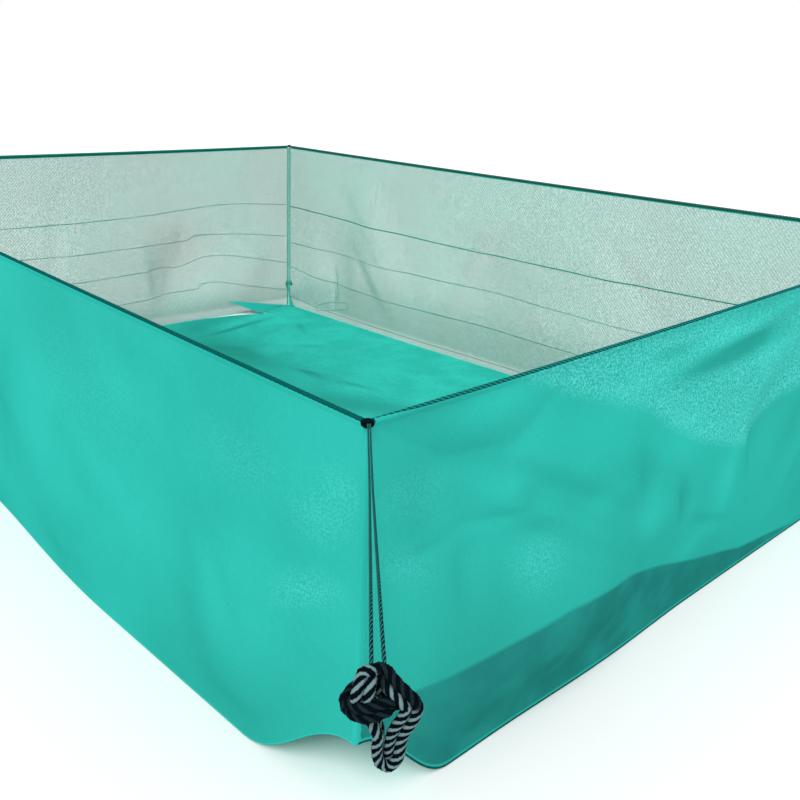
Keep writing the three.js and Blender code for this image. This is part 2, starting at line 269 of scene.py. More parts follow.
class Maker(Graph):
    """A Geometry Nodes tree with named inputs."""

    def __init__(self, name, sizes):
        super().__init__(bpy.data.node_groups.new(name, "GeometryNodeTree"))
        face = self.tree.interface
        face.new_socket("Geometry", in_out="INPUT", socket_type="NodeSocketGeometry")
        self.keys = {}
        for label, kind in sizes.items():
            made = face.new_socket(label, in_out="INPUT", socket_type="NodeSocket" + kind)
            self.keys[label] = made.identifier
        face.new_socket("Geometry", in_out="OUTPUT", socket_type="NodeSocketGeometry")
        self.inside = self.tree.nodes.new("NodeGroupInput")
        self.outside = self.tree.nodes.new("NodeGroupOutput")

    def given(self, label):
        return Socket(self, self.inside.outputs[label])

    def finish(self, geometry):
        """Smooth the faces, realize the instances and set the material."""
        smooth = self.node("GeometryNodeSetShadeSmooth", {"Geometry": geometry})
        real = self.node("GeometryNodeRealizeInstances", {"Geometry": smooth})
        material = self.given("Material")
        painted = self.node("GeometryNodeSetMaterial", {"Geometry": real, "Material": material})
        self.feed(self.outside.inputs["Geometry"], painted)

    def grow(self, name, source, sizes):
        """The plain mesh object that the tree makes from a source mesh."""
        holder = bpy.data.objects.new(name + "_source", source)
        bpy.context.scene.collection.objects.link(holder)
        modifier = holder.modifiers.new("grow", "NODES")
        modifier.node_group = self.tree
        for label, value in sizes.items():
            modifier[self.keys[label]] = value
        depsgraph = bpy.context.evaluated_depsgraph_get()
        mesh = bpy.data.meshes.new_from_object(holder.evaluated_get(depsgraph), depsgraph=depsgraph)
        bpy.data.objects.remove(holder)
        mesh.name = name
        return link_piece(name, mesh)


def link_piece(name, mesh):
    piece = bpy.data.objects.new(name, mesh)
    bpy.context.scene.collection.objects.link(piece)
    return piece


def path_mesh(points):
    """A chain of edges through points, which a tree turns into a curve."""
    mesh = bpy.data.meshes.new("path")
    edges = [(i, i + 1) for i in range(len(points) - 1)]
    mesh.from_pydata([tuple(map(float, point)) for point in points], edges, [])
    return mesh


# %% Make the tree of a laid rope
STRANDS = 3
ROPE_SIZES = {
    "Diameter": "Float", "Lay length": "Float", "Groove": "Float",
    "Section points": "Int", "Steps in a lay": "Int",
}


def rope_maker():
    rope = Maker("laid_rope", {**ROPE_SIZES, "Material": "Material"})

    def store(geometry, name, value):
        inputs = {"Geometry": geometry, "Name": name, "Value": value}
        return rope.node("GeometryNodeStoreNamedAttribute", inputs, data_type="FLOAT", domain="POINT")

    path = rope.node("GeometryNodeMeshToCurve", {"Mesh": rope.given("Geometry")})
    step = rope.given("Lay length") / rope.given("Steps in a lay")
    resampled = rope.node("GeometryNodeResampleCurve", {"Curve": path, "Length": step}, mode="LENGTH")
    along = rope.node("GeometryNodeSplineParameter", output="Length")
    tilt = along * TURN / rope.given("Lay length")
    twisted = rope.node("GeometryNodeSetCurveTilt", {"Curve": resampled, "Tilt": tilt})
    marked = store(twisted, "along", along)
    circle = {"Resolution": rope.given("Section points"), "Radius": rope.given("Diameter") / 2}
    ring = rope.node("GeometryNodeCurvePrimitiveCircle", circle, mode="RADIUS")
    around = rope.node("GeometryNodeSplineParameter", output="Factor")
    wave = rope.node("ShaderNodeMath", {0: around * (TURN * STRANDS)}, operation="COSINE")
    crest = wave * 0.5 + 0.5
    lobed = store(ring, "crest", crest)
    place = rope.node("GeometryNodeInputPosition")
    inwards = (crest - 1) * rope.given("Groove")
    offset = rope.node("ShaderNodeVectorMath", {0: place, "Scale": inwards}, operation="SCALE")
    section = rope.node("GeometryNodeSetPosition", {"Geometry": lobed, "Offset": offset})
    sweep = {"Curve": marked, "Profile Curve": section, "Fill Caps": True}
    rope.finish(rope.node("GeometryNodeCurveToMesh", sweep))
    return rope


laid_rope = rope_maker()
ROPES = {  # a column for each of the tree's sizes, in their order
    "rim": (RIM_ROPE, 0.036, 0.12, 12, 8),
    "hem": (HEM_CORD, 0.015, 0.18, 9, 6),
    "covered_hem": (HEM_CORD, 0.060, 0.06, 9, 5),
    "tie": (TIE_CORD, 0.0220, 0.20, 9, 8),
    "mooring": (0.0064, 0.0175, 0.14, 15, 10),
    "binding": (0.0038, 0.0120, 0.12, 9, 6),
    "thick_line": (0.0060, 0.0600, 0.10, 9, 5),
    "thin_line": (0.0030, 0.0600, 0.10, 6, 4),
    "thread": (0.0022, 0.0400, 0.10, 6, 4),
    "pleat": (0.0055, 0.0600, 0.30, 9, 5),
}


def lay_rope(name, kind, points, finish):
    """A rope of one kind along points, with one of the finishes."""
    sizes = dict(zip(ROPE_SIZES, ROPES[kind]))
    return laid_rope.grow(name, path_mesh(points), {**sizes, "Material": finishes[finish]})


print("rope tree:", len(laid_rope.tree.nodes), "nodes for", len(ROPES), "kinds of rope")

# %% [markdown]
# ## The finishes
# Net and rope get their detail from nodes. A small class holds a material and its shader. The net's
# finish varies in tone over the panel, turns solid along the folded edges, and lets the ground show
# between its yarns. The ropes' finish follows the crest attribute, so that the pale tracer yarns wind
# round with the strands.


# %% Write a finish as expressions
def opaque(colour):
    """A colour with the alpha that a colour socket wants."""
    return colour if isinstance(colour, Socket) else (*colour, 1)


class Finish(Graph):
    """A material with one shader."""

    def __init__(self, name, **constants):
        self.material = bpy.data.materials.new(name)
        self.material.use_nodes = True
        super().__init__(self.material.node_tree)
        self.shader = self.tree.nodes["Principled BSDF"]
        self.paint(constants)

    def paint(self, values):
        for name, value in values.items():
            self.feed(self.shader.inputs[name.replace("_", " ")], value)

    def attribute(self, name):
        return self.node("ShaderNodeAttribute", output="Fac", attribute_name=name)

    def noise(self, scale, detail=2.0):
        place = self.node("ShaderNodeTexCoord", output="Object")
        return self.node("ShaderNodeTexNoise", {"Vector": place, "Scale": scale, "Detail": detail})

    def step(self, value, low, high):
        """A soft rise from 0 at low to 1 at high."""
        ends = {"Value": value, "From Min": low, "From Max": high}
        return self.node("ShaderNodeMapRange", ends, interpolation_type="SMOOTHSTEP")

    def wave(self, value, pitch):
        """Up and down between 0 and 1, once in each pitch."""
        half = pitch / 2
        return self.node("ShaderNodeMath", {0: value, 1: half}, operation="PINGPONG") / half

    def mix(self, first, second, share):
        colours = {6: opaque(first), 7: opaque(second)}
        return self.node("ShaderNodeMix", {0: share, **colours}, 2, data_type="RGBA")

    def bump(self, height, distance, strength):
        values = {"Height": height, "Distance": distance, "Strength": strength}
        return self.node("ShaderNodeBump", values, "Normal")


SURFACES = {  # least roughness, its spread, height of the relief in metres, strength of the relief
    "net": (0.62, 0.20, 0.0005, 0.35),
    "yarn": (0.50, 0.20, 0.0003, 0.40),
    "seam": (0.55, 0.20, 0.0004, 0.30),
    "rope": (0.60, 0.25, 0.0004, 0.60),
}
MATT = {"Specular_IOR_Level": 0.0}


def paint_surface(finish, kind, colour, grain, relief, alpha=1.0):
    rough, spread, height, strength = SURFACES[kind]
    finish.paint({
        "Base_Color": colour,
        "Alpha": alpha,
        "Roughness": grain * spread + rough,
        "Normal": finish.bump(relief, height, strength),
    })
    return finish.material


print("surfaces:", ", ".join(SURFACES))

# %% Mix the net's finishes
TEALS = {  # the deeper and the brighter tone
    "near": ((0.021, 0.365, 0.308), (0.025, 0.415, 0.354)),
    # Painted light: a lighter copy of the near tones, for the right wall, which the sun lights less.
    "lit_near": ((0.025, 0.438, 0.370), (0.030, 0.498, 0.425)),
    "far": ((0.014, 0.335, 0.252), (0.018, 0.395, 0.300)),
    # Painted light: the floor's teal is lighter than the walls', to make up for the shade inside the cage.
    "floor": ((0.028, 0.444, 0.369), (0.036, 0.536, 0.451)),
    "fold": ((0.019, 0.376, 0.318), (0.024, 0.426, 0.366)),
    "seam": ((0.018, 0.338, 0.286), (0.022, 0.383, 0.329)),
    # Painted light: pale tones, as though light shone through the doubled net.
    "pale": ((0.150, 0.720, 0.610), (0.200, 0.800, 0.700)),
    "line": ((0.008, 0.260, 0.215), (0.012, 0.320, 0.270)),
}
# Painted highlight: pale glints where light catches the yarns.
GLINT_TEAL = (0.118, 0.660, 0.640)
# Painted shade: darker teal in creases, on the flat under the rim and over shaded stretches.
SHADE_TEAL = (0.016, 0.250, 0.205)
# Painted shadow: the shaded floor seen through the right wall, as a dark band along its foot.
SHADOW_BAND_TEAL = (0.014, 0.185, 0.168)
CLOUDS = {  # scale and detail of a noise, and the range of it that fades in
    "tone": (1.9, 3.0, 0.36, 0.64),
    "specks": (220.0, 2.0, 0.40, 0.64),
    "blotches": (9.0, 4.0, 0.35, 0.68),
}
GRAIN_SCALE = 70.0
SHADOW_BAND_FADE = 0.014  # metres over which the painted shadow band fades in
# The painted shadow band is broken by lighter blotches and lifted over the hem's fold.
BAND_BLOTCH_LIFT = 0.28
HEM_SHADOW_LIFT = 0.7
WEFT_PITCH = 0.004
WEFT_RANGE = (0.58, 0.80)  # of a wave, over which a bar of weft begins
WALE_PITCH = 0.007  # of the upright streaks that the knitting leaves
WEFT_RELIEF = 0.5  # as high as the streaks are
HATCH_PITCH = 0.014
MOTTLE_SCALE = 130.0
FIBRE_SCALE = 900.0
STITCH_SCALE = 420.0
STITCH_RANGE = (0.42, 0.62)
HEM_FOLD = (0.010, 0.007)  # over the hem, where the doubled net begins
FOOT = (0.050, 0.025)  # over the hem, where a sheer wall thins out


def cloud(finish, name, scale=None, grain=0.0):
    """Soft patches between 0 and 1."""
    usual, detail, low, high = CLOUDS[name]
    noise = finish.noise(scale or usual, detail)
    if grain:
        noise = noise + (finish.noise(GRAIN_SCALE, detail) - 0.5) * grain
    return finish.step(noise, low, high)


def teal_tone(finish, tones, shadow_lift=0.0, patch_scale=None, grain=0.0):
    """Teal that is uneven in soft patches, with painted pale glints in specks, painted shade where the
    attribute asks for it, and a painted shadow band.
    """
    colour = finish.mix(*TEALS[tones], cloud(finish, "tone", patch_scale, grain))
    colour = finish.mix(colour, SHADE_TEAL, finish.attribute("painted_shade"))
    colour = finish.mix(colour, GLINT_TEAL, finish.attribute("painted_glints") * cloud(finish, "specks"))
    shadow_band = finish.step(finish.attribute("shadow_band_depth"), 0.0, SHADOW_BAND_FADE)
    shadow_mottle = 1 - cloud(finish, "blotches") * BAND_BLOTCH_LIFT
    return finish.mix(colour, SHADOW_BAND_TEAL, shadow_band * (1 - shadow_lift) * shadow_mottle)


def net_finish(name, panel_height, cover):
    """Net cloth: bars of weft with see-through gaps, more solid at the folded hem."""
    net = Finish(name, **MATT)
    cloth = net.node("ShaderNodeUVMap", uv_map="cloth")
    across, down = (net.node("ShaderNodeSeparateXYZ", {0: cloth}, axis) for axis in "XY")
    bars = net.step(net.wave(down, WEFT_PITCH), *WEFT_RANGE)
    wales = net.wave(across, WALE_PITCH)
    hatch = net.wave(across + down, HATCH_PITCH) - 0.5
    mottle = net.noise(MOTTLE_SCALE) - 0.5
    hem_fold, foot = (net.step(down, *(panel_height - over for over in ends)) for ends in (HEM_FOLD, FOOT))
    alpha = bars * cover["weft"] + cover["gap"] + hatch * cover["hatch"] + mottle * cover["mottle"]
    alpha = alpha * (1 - foot * cover["thin"])
    alpha = net.node("ShaderNodeMath", {0: alpha, 1: hem_fold * cover["fold"]}, operation="MAXIMUM")
    colour = teal_tone(net, cover["tones"], hem_fold * HEM_SHADOW_LIFT, cover.get("patch_scale"), cover["grain"])
    return paint_surface(net, "net", colour, mottle, bars * WEFT_RELIEF + wales + mottle, alpha)


def yarn_finish():
    yarn = Finish("yarn", **MATT)
    fibres = yarn.noise(FIBRE_SCALE, 1.0)
    return paint_surface(yarn, "yarn", teal_tone(yarn, "far"), fibres, fibres)


def seam_finish(name, tones, least_alpha):
    """Doubled net, uneven with stitches."""
    seam = Finish(name, **MATT)
    stitches = seam.noise(STITCH_SCALE)
    alpha = seam.step(stitches, *STITCH_RANGE) * (1 - least_alpha) + least_alpha
    return paint_surface(seam, "seam", teal_tone(seam, tones), stitches, stitches, alpha)


SEAM_FINISHES = {  # tones, alpha between the stitches
    "folded_net": ("fold", 1.0),
    "near_seam": ("seam", 1.0),
    "far_seam": ("pale", 0.15),
    "stitched_line": ("line", 1.0),
}
finishes = {name: seam_finish(name, *row) for name, row in SEAM_FINISHES.items()}
finishes["yarn"] = yarn_finish()
print("net finishes:", ", ".join(finishes))

# %% Mix the ropes' finishes
ROPE_FIBRES = 650.0  # noise scale
TRACER_FADE = 0.15
DARK_STRETCH_FADE = 0.004
DARK_STRETCH_STRENGTH = 0.94
WRAP_DARK_STRETCH = (0.052, 0.150)  # metres along the mooring rope
ROPE_FINISHES = {  # tone in the grooves, tone of the tracer yarns, crest at which they show, flecks
    "rim_rope": ((0.0025, 0.074, 0.070), (0.018, 0.195, 0.176), 0.58, 0.40),
    "dim_rim_rope": ((0.0025, 0.074, 0.070), (0.0035, 0.088, 0.080), 0.58, 0.40),
    "far_rim_rope": ((0.030, 0.090, 0.074), (0.065, 0.170, 0.140), 0.58, 0.40),
    "netted_rim_rope": ((0.014, 0.170, 0.135), (0.035, 0.280, 0.225), 0.58, 0.40),
    "hem_cord": ((0.0025, 0.074, 0.070), (0.0035, 0.088, 0.080), 0.60, 0.40),
    "tie_cord": ((0.003, 0.028, 0.028), (0.036, 0.210, 0.200), 0.66, 0.70),
    "mooring_rope": ((0.0015, 0.004, 0.006), (0.130, 0.215, 0.225), 0.62, 0.45, WRAP_DARK_STRETCH),
    "knot_cord": ((0.0015, 0.004, 0.006), (0.003, 0.028, 0.028), 0.80, 0.40),
}


def rope_finish(name, dark, pale, tracer, flecks, dark_stretch=(0.0, 0.0)):
    """Dark strands with a flecked tracer yarn on the crest of each, and one stretch where the tracer is
    mostly hidden, so the rope shows darker there.
    """
    rope = Finish(name, **MATT)
    crest = rope.attribute("crest")
    along = rope.attribute("along")
    fibre = rope.noise(ROPE_FIBRES)
    begun = rope.step(along, dark_stretch[0] - DARK_STRETCH_FADE, dark_stretch[0])
    ended = rope.step(along, dark_stretch[1], dark_stretch[1] + DARK_STRETCH_FADE)
    shown = rope.step(crest + (fibre - 0.5) * flecks, tracer - TRACER_FADE, tracer + TRACER_FADE)
    blend = shown * (1 - begun * (1 - ended) * DARK_STRETCH_STRENGTH)
    return paint_surface(rope, "rope", rope.mix(dark, pale, blend), fibre, fibre + crest)


finishes.update({name: rope_finish(name, *row) for name, row in ROPE_FINISHES.items()})
print("rope finishes:", ", ".join(ROPE_FINISHES))

# %% [markdown]
# ## The ties
# Two thin cords leave each rim corner. The near pair is held taut, and the other three hang down their
# corner. Each strand is a free cord with a real length, so its route is a short list of given points, and
# the rope tree twists the strand along it.

# %% Lay out the ties
TAUT_DIRECTION = np.array((0.586, -0.556, 0.196))
TAUT_ROUTE = [  # along the line, sag under it
    (0.013, 0), (0.040, 0.0005), (0.080, 0.001), (0.130, 0.0018), (0.190, 0.0026), (0.250, 0.0033),
    (0.310, 0.0038), (0.370, 0.0041), (0.430, 0.0042), (0.490, 0.0041), (0.550, 0.0037), (0.610, 0.0031),
    (0.670, 0.0023), (0.730, 0.0015), (0.785, 0.0007), (0.831, 0),
]
HANGING_ROUTE = [  # outwards from the corner, down from it
    (0.013, 0), (0.018, 0.0004), (0.023, 0.002), (0.028, 0.0055), (0.0315, 0.011), (0.0335, 0.018),
    (0.0345, 0.028), (0.035, 0.045), (0.035, 0.090), (0.035, 0.160), (0.035, 0.240), (0.035, 0.330),
    (0.035, 0.420), (0.035, 0.510), (0.035, 0.600), (0.035, 0.680), (0.035, 0.752),
]
SIDEWAYS = {  # share of the tie's length, distance to the side, for each of the two strands
    "a": [(0.0, 0.0006), (0.5, 0.0004), (1.0, -0.0017)],
    "b": [(0.0, 0.0036), (0.5, 0.0034), (1.0, 0.0049)],
}
BODY = "root"


def tie_route(corner):
    taut = corner == NEAR_CORNER
    line = TAUT_DIRECTION / np.linalg.norm(TAUT_DIRECTION) if taut else outward(corner)
    route = TAUT_ROUTE if taut else HANGING_ROUTE
    return np.array([rim_corner(corner) + line * away - UP * down for away, down in route])


def place_piece(piece, slot, *nodes):
    """Let a piece ride on the cage and stand for its solids. The slot is not used."""
    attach(piece, BODY)
    if nodes:
        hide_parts(*nodes)
    return piece


def route_length(points):
    return float(np.linalg.norm(np.diff(points, axis=0), axis=1).sum())


def add_ties():
    """The two strands of each corner, with the lines that they follow."""
    strands = {}
    for corner in CORNERS:
        for letter, table in SIDEWAYS.items():
            route = tie_route(corner)
            aside = read_off(table, np.linspace(0, 1, len(route)))
            strand = route + np.outer(aside, parting(corner))
            piece = lay_rope(f"tie_cord_{corner}_{letter}", "tie", strand, "tie_cord")
            place_piece(piece, "cord", f"tie_{corner}_{letter}")
            strands.setdefault(corner, []).append((piece, strand))
            print("tie", corner, letter, round(route_length(strand), 3), "m")
    return strands


tie_strands = add_ties()

# %% [markdown]
# ## The mooring knots
# A thicker rope is doubled and knotted into the end of each tie: one arch over the ties, one wrap across
# it, and a branch that comes down the right side and turns back up as a small loop. A simulated knot
# would fall in another way than the real one, so the middle line is listed point by point, and the two
# ropes run beside it.

# %% Tie the mooring knots
KNOT_FROM_TIE = {"out": 0.010, "down": 0.0185, "aside": 0.0035}
PAIR_SPREAD = 0.0056  # between the middles of the two ropes
KNOT_LINE = [  # millimetres across, up and out from the knot's middle, and the pair's turn in degrees
    (-3, 4, -6, 0), (-5, 13, -6, 0), (-7, 19, -3, 0), (-7.6, 19.5, 1.5, 0), (-8.6, 15, 5.5, 0),
    (-9.2, 9, 4.5, 0), (-7, 3, 0, 0), (0, 0, -5, 0), (7.5, 4, -2, 0), (4, 6.5, 5, 0), (-6, 4.5, 8.5, 0),
    (-13, 3.5, 5.5, 0), (-16, 3, -0.5, 0), (-12, 5, -7, 0), (-4, 13, -7, 0), (0, 20, -3, 0),
    (5, 16.5, 1.5, 0), (11.5, 11.5, 4.5, 0), (15.5, 6.5, 4.5, 0), (14.6, 0, 4, 0), (12.2, -6, 3, 0),
    (9.8, -12, 2, 0), (8.6, -19, 1, 10), (8.2, -27, 0, 30), (5.5, -33, -1, 60), (1, -31, -1.5, 80),
    (-0.5, -23, -1, 85), (0, -15, 0, 85), (-2.5, -8, 0, 80), (-4.5, -3, -3, 60), (-3, 3, -7, 20),
]
CURVE_STEPS = 8  # between two points of the line
SIDE_SMOOTHING = 8  # passes that even out which side of the line a rope is on
MILLIMETRE = 0.001


def smooth_line(points, steps=CURVE_STEPS):
    """A curve through points, by the cubic of each four neighbours."""
    points = np.array(points, float)
    padded = np.vstack((2 * points[0] - points[1], points, 2 * points[-1] - points[-2]))
    curve = []
    for a, b, c, d in zip(padded, padded[1:], padded[2:], padded[3:]):
        for t in np.arange(steps) / steps:
            curve.append(0.5 * (2 * b + (c - a) * t + (2 * a - 5 * b + 4 * c - d) * t**2
                                + (3 * b - a - 3 * c + d) * t**3))
    return np.array(curve + [points[-1]])


def beside(line, facing, turn, distance):
    """The line moved sideways, square to its own run, and turned about it out of the facing plane."""
    run = np.gradient(line, axis=0)
    run /= np.linalg.norm(run, axis=1, keepdims=True)
    flat = np.cross(run, facing)
    for _ in range(SIDE_SMOOTHING):
        flat[1:-1] = (flat[:-2] + 2 * flat[1:-1] + flat[2:]) / 4
    flat -= run * np.sum(run * flat, axis=1, keepdims=True)
    flat /= np.maximum(np.linalg.norm(flat, axis=1, keepdims=True), TINY)
    side = flat * np.cos(turn)[:, None] + np.cross(run, flat) * np.sin(turn)[:, None]
    return line + side * distance


def join_pieces(name, pieces):
    """One mesh object out of several, which are removed."""
    with bpy.context.temp_override(active_object=pieces[0], selected_editable_objects=pieces):
        bpy.ops.object.join()
    pieces[0].name = name
    pieces[0].data.name = name
    return pieces[0]


def add_mooring_knots():
    curve = smooth_line(KNOT_LINE)
    turn = np.radians(curve[:, 3])
    for corner in CORNERS:
        end = tie_route(corner)[-1]
        middle = end + outward(corner) * KNOT_FROM_TIE["out"] - UP * KNOT_FROM_TIE["down"]
        middle = middle + parting(corner) * KNOT_FROM_TIE["aside"]
        axes = np.array((parting(corner), UP, outward(corner)))
        line = middle + curve[:, :3] * MILLIMETRE @ axes
        ropes = []
        for side in (-1, 1):
            route = beside(line, outward(corner), turn, side * PAIR_SPREAD / 2)
            ropes.append(lay_rope(f"mooring_rope_{corner}_{side}", "mooring", route, "mooring_rope"))
        knot = join_pieces(f"mooring_knot_{corner}", ropes)
        place_piece(knot, "rope", f"rope_knot_{corner}")
        print("knot", corner, round(route_length(line), 3), "m of doubled rope")


add_mooring_knots()

# %% [markdown]
# ## The rim rope, the hem cord and the corner knots
# The rope of the rim carries the net, and the hem has a thinner cord. On three sides the hem's net is
# rolled round its cord, so only the right one shows dark. Turns of black cord bind the ropes at each
# corner. All follow lines that are known already, so the rope tree makes them.

# %% Lay the ropes of the rim and the hem
LINE_STEP = 0.05  # between the points of a rope's path
HEM_STEP = 0.0125  # shorter, because the hem rises sharply at the near corner
BARE_SIDE = "right"  # where the net leaves the hem's cord bare
EDGE_FINISHES = {  # of the rim's rope and of the hem's cord
    "front": ("dim_rim_rope", "folded_net"),
    "right": ("rim_rope", "hem_cord"),
    # The far hems take the far seam's pale painted light.
    "back": ("far_rim_rope", "far_seam"),
    "left": ("netted_rim_rope", "far_seam"),
}


def places(first, last, step=LINE_STEP):
    return np.linspace(first, last, max(2, math.ceil((last - first) / step)) + 1)


def add_edge_ropes():
    for name, (rim_finish, hem_finish) in EDGE_FINISHES.items():
        length = wall_length(name)
        rim = rim_line(name, places(ROPE_END, length - ROPE_END))
        rope = lay_rope(f"rim_laid_rope_{name}", "rim", rim, rim_finish)
        place_piece(rope, "rope", f"rim_rope_{name}")
        between_others = WALLS[name]["out"][0] != 0
        end = HEM_CORD + GAP if between_others else 0.0
        hem = foot_line(name, places(end, length - end, HEM_STEP)) + UP * HEM_CORD / 2
        kind = "hem" if name == BARE_SIDE else "covered_hem"
        cord = lay_rope(f"hem_laid_cord_{name}", kind, hem, hem_finish)
        place_piece(cord, "cord", f"hem_cord_{name}")
        print("edges of", name, len(rope.data.polygons), len(cord.data.polygons), "faces")


add_edge_ropes()

# %% Bind the corners
BINDING = {"inner": -0.006, "outer": 0.010, "wide": 0.0064, "tall": 0.0040, "turns": 5}
BINDING_STEPS = 14  # for each turn
CROSS_TURNS = [  # place along the axis, size, lean
    (0.0065, 1.30, 0.004), (0.0020, 1.25, -0.003), (0.0110, 0.62, 0.002), (0.0125, 0.25, 0.0),
]


def add_corner_knots():
    for corner in CORNERS:
        middle, out, side = rim_corner(corner), outward(corner), parting(corner)
        angle = np.linspace(0, TURN * BINDING["turns"], BINDING["turns"] * BINDING_STEPS + 1)
        along = np.linspace(BINDING["inner"], BINDING["outer"], len(angle))
        oval = np.outer(np.cos(angle), side) * BINDING["wide"] + np.outer(np.sin(angle), UP) * BINDING["tall"]
        coil = middle + np.outer(along, out) + oval
        cords = [lay_rope(f"binding_{corner}", "binding", coil, "knot_cord")]
        one_turn = oval[:BINDING_STEPS + 1]
        for place, size, lean in CROSS_TURNS:
            tilt = np.outer(np.sin(angle[:BINDING_STEPS + 1]) * lean, out)
            loop = middle + out * place + one_turn * size + tilt
            cords.append(lay_rope(f"cross_turn_{corner}_{place}", "binding", loop, "knot_cord"))
        knot = join_pieces(f"corner_binding_{corner}", cords)
        place_piece(knot, "cord", f"corner_knot_{corner}")
        print("corner", corner, len(knot.data.polygons), "faces")


add_corner_knots()

# %% [markdown]
# ## The net panels
# Each wall is one hung sheet. Its surface runs from the rim rope to the hem, with the soft folds of the
# slack net as broad humps and the sharper creases as narrow ones along a line. A cloth simulation would
# put its folds in other places, so tables of listed rows give a wall its whole form instead. The
# net, its yarns and its sewn lines all lie on that one surface.

# %% Describe the folds and creases of the walls
WALL_FOLDS = {  # along, down, half width, half height, out, lean
    "front": [
        (0.330, 0.72, 0.260, 0.32, 0.034, 0.060), (0.640, 0.50, 0.200, 0.55, -0.020, -0.160),
        (1.080, 0.58, 0.420, 0.45, 0.046, 0.120), (1.620, 0.55, 0.240, 0.50, -0.024, -0.090),
        (2.120, 0.60, 0.400, 0.42, 0.040, 0.080), (2.640, 0.50, 0.220, 0.50, -0.018, -0.120),
    ],
    "right": [
        (0.240, 0.30, 0.220, 0.30, -0.026, 0.420), (0.520, 0.70, 0.520, 0.30, 0.058, 0.0),
        (1.120, 0.62, 0.360, 0.36, 0.034, 0.160), (1.420, 0.42, 0.190, 0.40, -0.028, -0.380),
        (1.820, 0.50, 0.260, 0.45, 0.026, -0.260),
    ],
    "back": [
        (0.420, 0.55, 0.320, 0.45, 0.030, 0.060), (1.060, 0.50, 0.300, 0.50, -0.022, -0.080),
        (1.720, 0.60, 0.380, 0.42, 0.034, 0.140), (2.420, 0.50, 0.210, 0.52, -0.034, -0.430),
        (2.760, 0.66, 0.190, 0.34, 0.026, -0.060),
    ],
    "left": [
        (0.420, 0.55, 0.300, 0.44, 0.030, 0.060), (0.980, 0.60, 0.340, 0.42, -0.030, 0.060),
        (1.560, 0.70, 0.280, 0.32, 0.095, 0.040), (1.960, 0.72, 0.180, 0.26, -0.028, -0.040),
    ],
}
CREASES = {  # along and down at one end, along and down at the other, half width, out
    "front": [
        (0.06, 0.07, 0.30, 0.45, 0.070, 0.007), (0.46, 0.45, 0.30, 0.72, 0.060, -0.005),
        (1.03, 0.30, 0.75, 0.62, 0.090, 0.006), (1.60, 0.20, 1.75, 0.80, 0.070, -0.006),
        (2.20, 0.15, 2.05, 0.70, 0.080, 0.007), (2.75, 0.10, 2.60, 0.80, 0.060, -0.006),
    ],
    "right": [
        (1.60, 0.01, 0.74, 0.145, 0.050, 0.010), (1.62, 0.04, 0.94, 0.215, 0.085, -0.012),
        (0.20, 0.14, 0.82, 0.54, 0.055, -0.012), (0.22, 0.21, 0.84, 0.63, 0.060, 0.012),
        (0.77, 0.33, 0.88, 0.47, 0.050, -0.014), (0.97, 0.46, 1.01, 0.62, 0.040, -0.012),
        (1.00, 0.62, 1.30, 0.75, 0.035, -0.009), (0.00, 0.44, 0.26, 0.335, 0.022, -0.005),
        (0.24, 0.335, 0.44, 0.36, 0.022, -0.004), (0.27, 0.36, 0.265, 0.58, 0.060, -0.008),
        (1.26, 0.40, 1.40, 0.70, 0.045, 0.009), (1.78, 0.06, 1.62, 0.75, 0.060, 0.012),
        (2.10, 0.10, 2.02, 0.80, 0.050, -0.010),
    ],
    "back": [
        (2.69, 0.35, 2.24, 0.94, 0.080, -0.010), (2.80, 0.66, 2.74, 0.96, 0.035, 0.012),
        (1.18, 0.18, 0.75, 0.60, 0.070, 0.012), (0.30, 0.10, 0.45, 0.70, 0.060, -0.012),
        (1.70, 0.12, 1.95, 0.80, 0.070, -0.010),
    ],
    "left": [
        (1.56, 0.36, 1.61, 0.70, 0.060, 0.011), (1.61, 0.62, 1.46, 0.92, 0.060, 0.011),
        (1.36, 0.55, 1.40, 0.95, 0.060, -0.010), (0.93, 0.20, 0.85, 0.80, 0.060, 0.012),
        (0.35, 0.10, 0.45, 0.75, 0.060, -0.012),
    ],
}
FACET_EDGES = {  # lower edge of a flat that is pulled in under the rim: along, down
    "right": [(0.0, 0.0), (0.10, 0.09), (0.18, 0.145), (0.36, 0.165), (0.52, 0.0)],
}
FACET_REACH = 0.20  # share of the height over which the net comes out again below the flat
FACET_DEPTH = 0.013
END_FADE = 0.160  # folds flatten out over this length before a corner
RIM_FADE = 0.16  # and over this share of the height under the rim
CREASE_FADE = 0.05  # creases reach closer to the rim
HEM_FADE = 0.14  # both flatten out over this share above the hem
CREASE_TAPER = 0.7  # how far a crease dies away at its ends, where 1 is wholly


